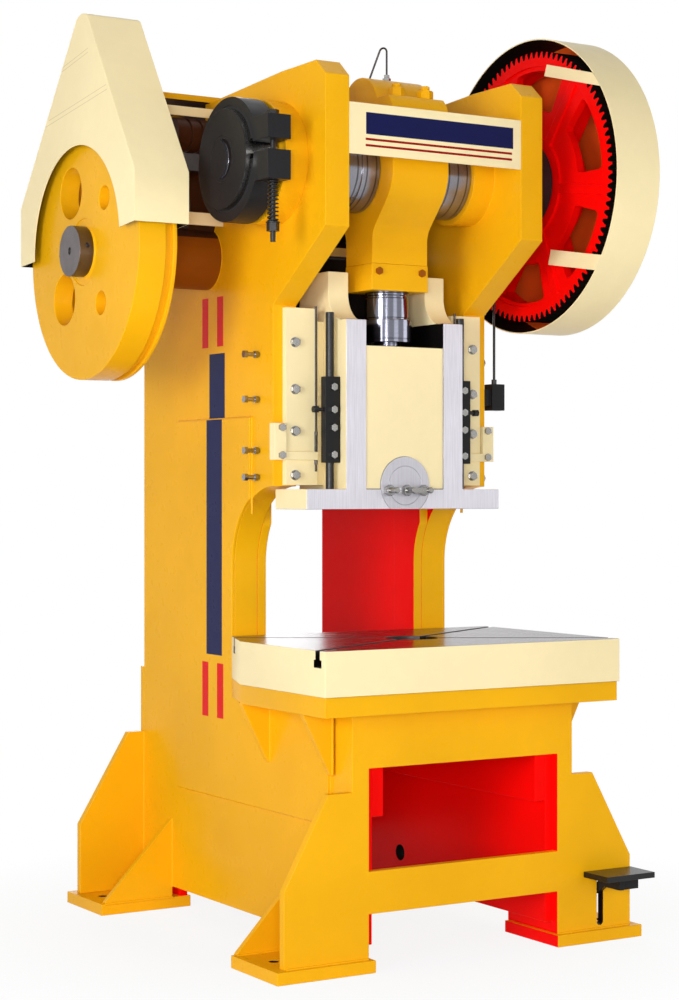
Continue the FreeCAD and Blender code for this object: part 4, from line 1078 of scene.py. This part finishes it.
def hexagon_head():
    """A head that is 1 across its flats and 1 high."""
    mesh = bmesh.new()
    low, shoulder, top = [], [], []
    for side in range(6):
        for k in range(SIDE_STEPS):
            across = (k / SIDE_STEPS - 0.5) * 2 * FLAT * SLANT
            radius = hypot(FLAT, across)
            a = radians(60 * side) + atan2(across, FLAT)
            drop = (radius - FLAT * 0.95) * SLANT
            for row, r, z in ((low, radius, 0.0), (shoulder, radius, 1.0 - drop * 1.6),
                              (top, FLAT * 0.93, 1.0)):
                row.append(mesh.verts.new((r * cos(a), r * sin(a), z)))
    return written("hexagon_head", skin(mesh, [low, shoulder, top], caps=(top, low)))


head = bpy.data.objects.new("hexagon_head", hexagon_head())
print("head", len(head.data.polygons), "faces")


# %% Geometry Nodes: fasteners on points
def named(label, kind="FLOAT"):
    node = add("GeometryNodeInputNamedAttribute", {"data_type": kind}, Name=label)
    return node.outputs["Attribute"]


def joined(*parts):
    made = add("GeometryNodeJoinGeometry")
    for part in reversed(parts):
        wire(made, _0=part)
    return made.outputs[0]


def vector(x, y, z):
    return shade("CombineXYZ", X=x, Y=y, Z=z)


def raised(shape, z):
    return geo("Transform", Geometry=shape, Translation=(0.0, 0.0, z))


def given_any(value):
    """True where a point asks for more than half a millimetre of something."""
    return calc("GREATER_THAN", value, 0.0005)


given = open_tree("fasteners_on_points", Points="Geometry", Head="Object",
                  Washer_thickness="Float", Stud_share="Float", Finish="Material")
spots = geo("MeshToPoints", Mesh=given["Points"])
aim = add("FunctionNodeAlignRotationToVector", {"axis": "Z"},
          Vector=named("aim", "FLOAT_VECTOR")).outputs[0]
wide, high, stud, washer = (named(label) for label in ("flats", "height", "stud", "washer"))
drawn = add("GeometryNodeObjectInfo", Object=given["Head"]).outputs["Geometry"]
heads = geo("InstanceOnPoints", Points=spots, Instance=drawn, Rotation=aim,
            Scale=vector(wide, wide, high))
shank = raised(geo("MeshCylinder", Vertices=24, Radius=0.5, Depth=0.94), 0.47)
tip = raised(geo("MeshCone", Vertices=24, Radius_Top=0.40, Radius_Bottom=0.5, Depth=0.06), 0.94)
thick = calc("MULTIPLY", wide, given["Stud share"])
ends = geo("InstanceOnPoints", Points=spots, Instance=joined(shank, tip),
           Selection=given_any(stud), Rotation=aim,
           Scale=vector(thick, thick, calc("ADD", high, stud)))
disc = raised(geo("MeshCylinder", Vertices=32, Radius=1.0, Depth=1.0), -0.5)
discs = geo("InstanceOnPoints", Points=spots, Instance=disc, Rotation=aim,
            Selection=given_any(washer), Scale=vector(washer, washer, given["Washer thickness"]))
bolt_tree = close_tree(joined(heads, ends, discs), given["Finish"])


# %% Helper: a list of fasteners becomes one piece
def fasteners(node, rows, finish, extra=(), alone=True):
    """Each row: (place, aim, flats, height), then stud and washer radius where it has them."""
    rows = [(*row, 0.0, 0.0)[:6] for row in rows]
    data = bpy.data.meshes.new(node + "_places")
    data.from_pydata([row[0] for row in rows], [], [])
    facing = data.attributes.new("aim", "FLOAT_VECTOR", "POINT")
    facing.data.foreach_set("vector", [c for row in rows for c in row[1]])
    for k, label in enumerate(("flats", "height", "stud", "washer")):
        values = data.attributes.new(label, "FLOAT", "POINT")
        values.data.foreach_set("value", [row[2 + k] for row in rows])
    made = run_tree(node + "_grown", bolt_tree, data, Head=head, Washer_thickness=0.003,
                    Stud_share=0.64, Finish=finish)
    mesh = bmesh.new()
    mesh.from_mesh(made.data)
    bpy.data.objects.remove(made)
    piece = finish_mesh(node + "_hexagons", mesh, [finish], angle=24.0)
    if extra:
        piece = join(node + "_hexagons", [piece, *extra])
    print(node, len(rows), "fasteners")
    return attach(piece, node) if alone else piece


def mirrored(rows):
    return rows + [((-p[0], p[1], p[2]), (-a[0], a[1], a[2]), *rest) for p, a, *rest in rows]


# %% Fasteners of the press
FRONTWARD, UPWARD, SIDEWARD = (0.0, -1.0, 0.0), (0.0, 0.0, 1.0), (1.0, 0.0, 0.0)
BLOCK_X, BLOCK_Y, BLOCK_Z = 0.328, -0.370, 1.865
fasteners("gib_bolts", mirrored(
    [((0.376, -0.297, z), FRONTWARD, 0.027, 0.013, 0.0, 0.018)
     for z in (1.637, 1.791, 1.937, 2.101)]
    + [((0.436, -0.306, z), FRONTWARD, 0.024, 0.012) for z in (1.706, 1.803)]), plated)
side_heads = fasteners("block_side_bolts", mirrored([
    ((BLOCK_X, BLOCK_Y, BLOCK_Z), SIDEWARD, 0.022, 0.020)]), oily, alone=False)
side_shanks = bmesh.new()
for x in (-BLOCK_X, BLOCK_X - 0.022):
    sweep(side_shanks, [(x, 0.0002), (x + 0.022, 0.0002), (x + 0.022, 0.007), (x, 0.007)],
          20, (BLOCK_Y, BLOCK_Z))
side_shanks = finish_mesh("block_side_shanks", side_shanks, [oily])
fasteners("block_bolts", mirrored([
    ((0.275, -0.385, z), FRONTWARD, 0.024, 0.012) for z in (1.708, 1.802, BLOCK_Z, 1.944)]),
          plated, [side_heads, side_shanks])
# Painted shade: the clamp bolts sit in recesses and are painted dark ochre, as in shade.
fasteners("clamp_bolts", mirrored([((0.090, -0.389, 2.357), FRONTWARD, 0.024, 0.011)]), shade_ochre)
fasteners("cap_studs", mirrored([
    ((0.060, CRANK.y + dy, 2.961), UPWARD, 0.050, 0.032, 0.016) for dy in (-0.158, 0.158)]),
          yellow)
lock_bar = bmesh.new()
add_box(lock_bar, (0.035, -0.469, 1.584), (0.060, 0.012, 0.018))
lock_bar = finish_mesh("stud_lock_bar", lock_bar, [plated], 0.0012)
fasteners("shank_studs", [((x, -0.423, 1.584), FRONTWARD, 0.034, 0.024, 0.038)
                          for x in (-0.072, 0.0, 0.070)], plated, [lock_bar])
dress("gib_adjusting_screws", 0.5)
dress("brake_bolt", 0.6, [oily])

# %% [markdown]
# ## Wound spring and screw thread
#
# A coil spring and a screw thread follow one rule: a point goes round an axis and along
# it at a steady rate. The tree draws that spiral, lets its ends lie flat, and carries a
# small section along it: a round one for the brake's spring, and a pointed one, on a plain
# core, for the thread of the adjusting screw.

# %% Geometry Nodes: a spiral with a section
def round_section(sides, radius):
    return geo("CurvePrimitiveCircle", {"mode": "RADIUS"}, Resolution=sides, Radius=radius)


given = open_tree(
    "spiral_with_section", Turns="Float", Radius="Float", Height="Float", Wire="Float",
    Sides="Int", Flat_turns="Float", Steps="Int", Centre="Vector", Finish="Material")
path = geo("CurvePrimitiveLine", Start=(0, 0, 0), End=(0, 0, 1))
path = geo("ResampleCurve", Curve=path, Count=given["Steps"])
along = add("GeometryNodeSplineParameter").outputs["Factor"]
angle = calc("MULTIPLY", calc("MULTIPLY", along, given["Turns"]), tau)
end_share = calc("DIVIDE", given["Flat turns"], given["Turns"])
far_share = calc("SUBTRACT", 1.0, end_share)
rise = spread(along, end_share, far_share, 0.0, 1.0)
across = [calc("MULTIPLY", calc(wave, angle), given["Radius"]) for wave in ("COSINE", "SINE")]
moved = geo("SetPosition", Geometry=path, Offset=given["Centre"],
            Position=vector(*across, calc("MULTIPLY", rise, given["Height"])))
level_up = geo("SetCurveNormal", {"mode": "Z_UP"}, Curve=moved)
wound = geo("CurveToMesh", Curve=level_up, Fill_Caps=True,
            Profile_Curve=round_section(given["Sides"], given["Wire"]))
spiral_tree = close_tree(wound, given["Finish"])

# %% Spring and screw
WIRE = 0.0032
spring_low, spring_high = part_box("brake_spring")
spring = run_tree(
    "brake_spring_wound", spiral_tree, Turns=11.0, Radius=0.0165, Wire=WIRE, Sides=10,
    Height=spring_high[2] - spring_low[2] - 2 * WIRE, Flat_turns=0.6, Steps=330,
    Centre=(-0.600, -0.534, spring_low[2] + WIRE), Finish=oily)
spring.data.shade_smooth()
attach(spring, "brake_spring")

COLLAR_R, COLLAR_EDGE, BLANK_R, LAND_R, GROOVE_R = 0.090, 0.0875, 0.0775, 0.0796, 0.0770
NECK_R, BALL_R, BALL_Z = 0.046, 0.075, 1.990


ball = [(BALL_Z + BALL_R * sin(radians(a)), BALL_R * cos(radians(a))) for a in range(-86, 53, 6)]
core = sweep(bmesh.new(), ball + [
    (2.052, NECK_R), (2.109, NECK_R), (2.109, COLLAR_EDGE), (2.1115, COLLAR_R),
    (2.1205, COLLAR_R), (2.1217, 0.0885), (2.1233, 0.0885), (2.1245, COLLAR_R),
    (2.1895, COLLAR_R), (2.192, COLLAR_EDGE), (2.192, BLANK_R), (2.197, BLANK_R),
    (2.199, LAND_R), (2.266, LAND_R), (2.269, GROOVE_R), (2.275, GROOVE_R), (2.278, LAND_R),
    (2.284, LAND_R), (2.287, GROOVE_R), (2.587, GROOVE_R), (2.590, 0.0745)],
             96, (0.0, CRANK.y), upright=True)
core = finish_mesh("screw_core", core, [screw_steel])
thread = run_tree(
    "screw_thread", spiral_tree, Turns=34.0, Radius=0.0768, Height=0.272, Wire=0.0026, Sides=4,
    Flat_turns=0.01, Steps=34 * 40, Centre=(0.0, CRANK.y, 2.300), Finish=screw_steel)
attach(join("ball_screw_turned", [core, thread]), "ball_screw")

# %% [markdown]
# ## Grease pipe
#
# A thin dark pipe rises from a fitting on the rod's cap and bends over at the top. It
# is a round section carried along straight runs and one arc, which is how a pipe
# bender leaves it.

# %% Grease pipe
PIPE_R, PIPE_SIDES = 0.0035, 16
BEND_R, BEND, BEND_STEPS = 0.016, 155.0, 16
RISE, FALL = 0.087, 0.128
lean = Vector((-0.39, 0.92, 0.0)).normalized()
crown = CRANK.z + 0.060 + 0.273
foot = Vector((0.0, CRANK.y, crown + 0.018))
top = foot + Vector((0.0, 0.0, RISE))
route = [foot + (top - foot) * k / 4 for k in range(4)]
for k in range(BEND_STEPS + 1):
    a = radians(BEND * k / BEND_STEPS)
    route.append(top + lean * (BEND_R * (1 - cos(a))) + Vector((0, 0, BEND_R * sin(a))))
fall = lean * sin(radians(BEND)) + Vector((0, 0, cos(radians(BEND))))
route += [route[-1] + fall * FALL * k / 4 for k in (1, 2, 3, 4)]
side = lean.cross(Vector((0, 0, 1)))
pipe = bmesh.new()
rings = []
for k, spot in enumerate(route):
    ahead = (route[min(k + 1, len(route) - 1)] - route[max(k - 1, 0)]).normalized()
    other = ahead.cross(side).normalized()
    rings.append([pipe.verts.new(spot + (side * cos(t) + other * sin(t)) * PIPE_R)
                  for t in (tau * j / PIPE_SIDES for j in range(PIPE_SIDES))])
skin(pipe, rings, caps=(rings[0], rings[-1]))
attach(finish_mesh("grease_pipe_bent", pipe, [dark_steel]), "grease_pipe")
print("pipe", round(sum((b - a).length for a, b in zip(route, route[1:])) * 1000, 1), "mm long")

# %% [markdown]
# ## Pedal
#
# A pressed plate on a bent lever starts a stroke. Both are black. The pin they
# turn on is oiled steel.

# %% Pedal
dress("pedal_plate", 1.5, [oily])
dress("pedal_lever", 1.2)
dress("pedal_pivot", 0.6, [oily])

# %% [markdown]
# ## Weld beads
#
# The reinforcing plates, gussets and feet are welded on, and a sprayed weld is still
# seen as a soft rippled line in the corner. The tree walks along each line, and
# swells and thins a round section at every few millimetres, as a welder's hand does.

# %% Geometry Nodes: weld bead along lines
given = open_tree("weld_bead_on_lines", Lines="Geometry", Radius="Float",
                  Ripple_length="Float", Ripple="Float", Seed="Int", Finish="Material")
lines = geo("MeshToCurve", Mesh=given["Lines"])
lines = geo("ResampleCurve", {"mode": "LENGTH"}, Curve=lines, Length=given["Ripple length"])
beat = calc("MULTIPLY", calc("MODULO", geo("InputIndex"), 2.0), given["Ripple"])
chance = add("FunctionNodeRandomValue", {"data_type": "FLOAT"}, Seed=given["Seed"], _2=0.9, _3=1.08)
swell = calc("MULTIPLY", calc("ADD", beat, 1.0), chance.outputs[1])
bead = geo("CurveToMesh", Curve=lines, Scale=swell, Fill_Caps=True,
           Profile_Curve=round_section(8, given["Radius"]))
bead_tree = close_tree(bead, given["Finish"])


# %% Beads on the frame
def bead_piece(name, paths, radius, finish):
    data = bpy.data.meshes.new(name + "_lines")
    spots, edges = [], []
    for path in paths:
        edges += [(len(spots) + k, len(spots) + k + 1) for k in range(len(path) - 1)]
        spots += path
    data.from_pydata(spots, edges, [])
    piece = run_tree(name, bead_tree, data, Radius=radius, Ripple_length=0.005, Ripple=0.12,
                     Seed=4, Finish=finish)
    piece.data.shade_smooth()
    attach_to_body(piece, "frame")
    print(name, len(piece.data.polygons), "faces")


FOOT_TOP, FOOT_LINE = 0.082, 0.042
doubler_paths, leg_paths = [], []
for s in (-1, 1):
    x = s * OUT
    doubler_paths.append([(x, -0.119, 1.50), (x, -0.119, 1.842), (x, 0.446, 1.842),
                          (x, 0.446, 0.470), (x, -0.660, 0.470), (x, -0.660, 0.850)])
    for gusset in (-0.527, 0.505):
        for y in (gusset, gusset + 0.022):
            leg_paths.append([(x, y, 0.343), (x, y, FOOT_TOP)])
            leg_paths.append([(x, y, FOOT_LINE), (s * 0.730, y, FOOT_LINE)])
    for stay in (-0.690, -0.270):
        for y in (stay, stay + 0.026):
            leg_paths.append([(s * 0.462, y, 0.850), (s * 0.462, y, 0.640)])
    for y, z in ((-0.767, 0.560), (0.749, 0.648)):
        leg_paths.append([(x, y, z), (x, y, FOOT_TOP)])
    for y in (-0.797, 0.779):
        leg_paths.append([(s * 0.388, y, FOOT_LINE), (s * 0.700, y, FOOT_LINE)])
bead_piece("doubler_weld_beads", doubler_paths, 0.005, yellow)
bead_piece("leg_weld_beads", leg_paths, 0.0045, yellow)

# %% [markdown]
# ## The solids' box
#
# The dressed press must fill the same box as the solids. That box, measured at the start,
# is printed here.

# %% Print the solids' box
print("cad", [[round(v, 4) for v in c] for c in cad_box])
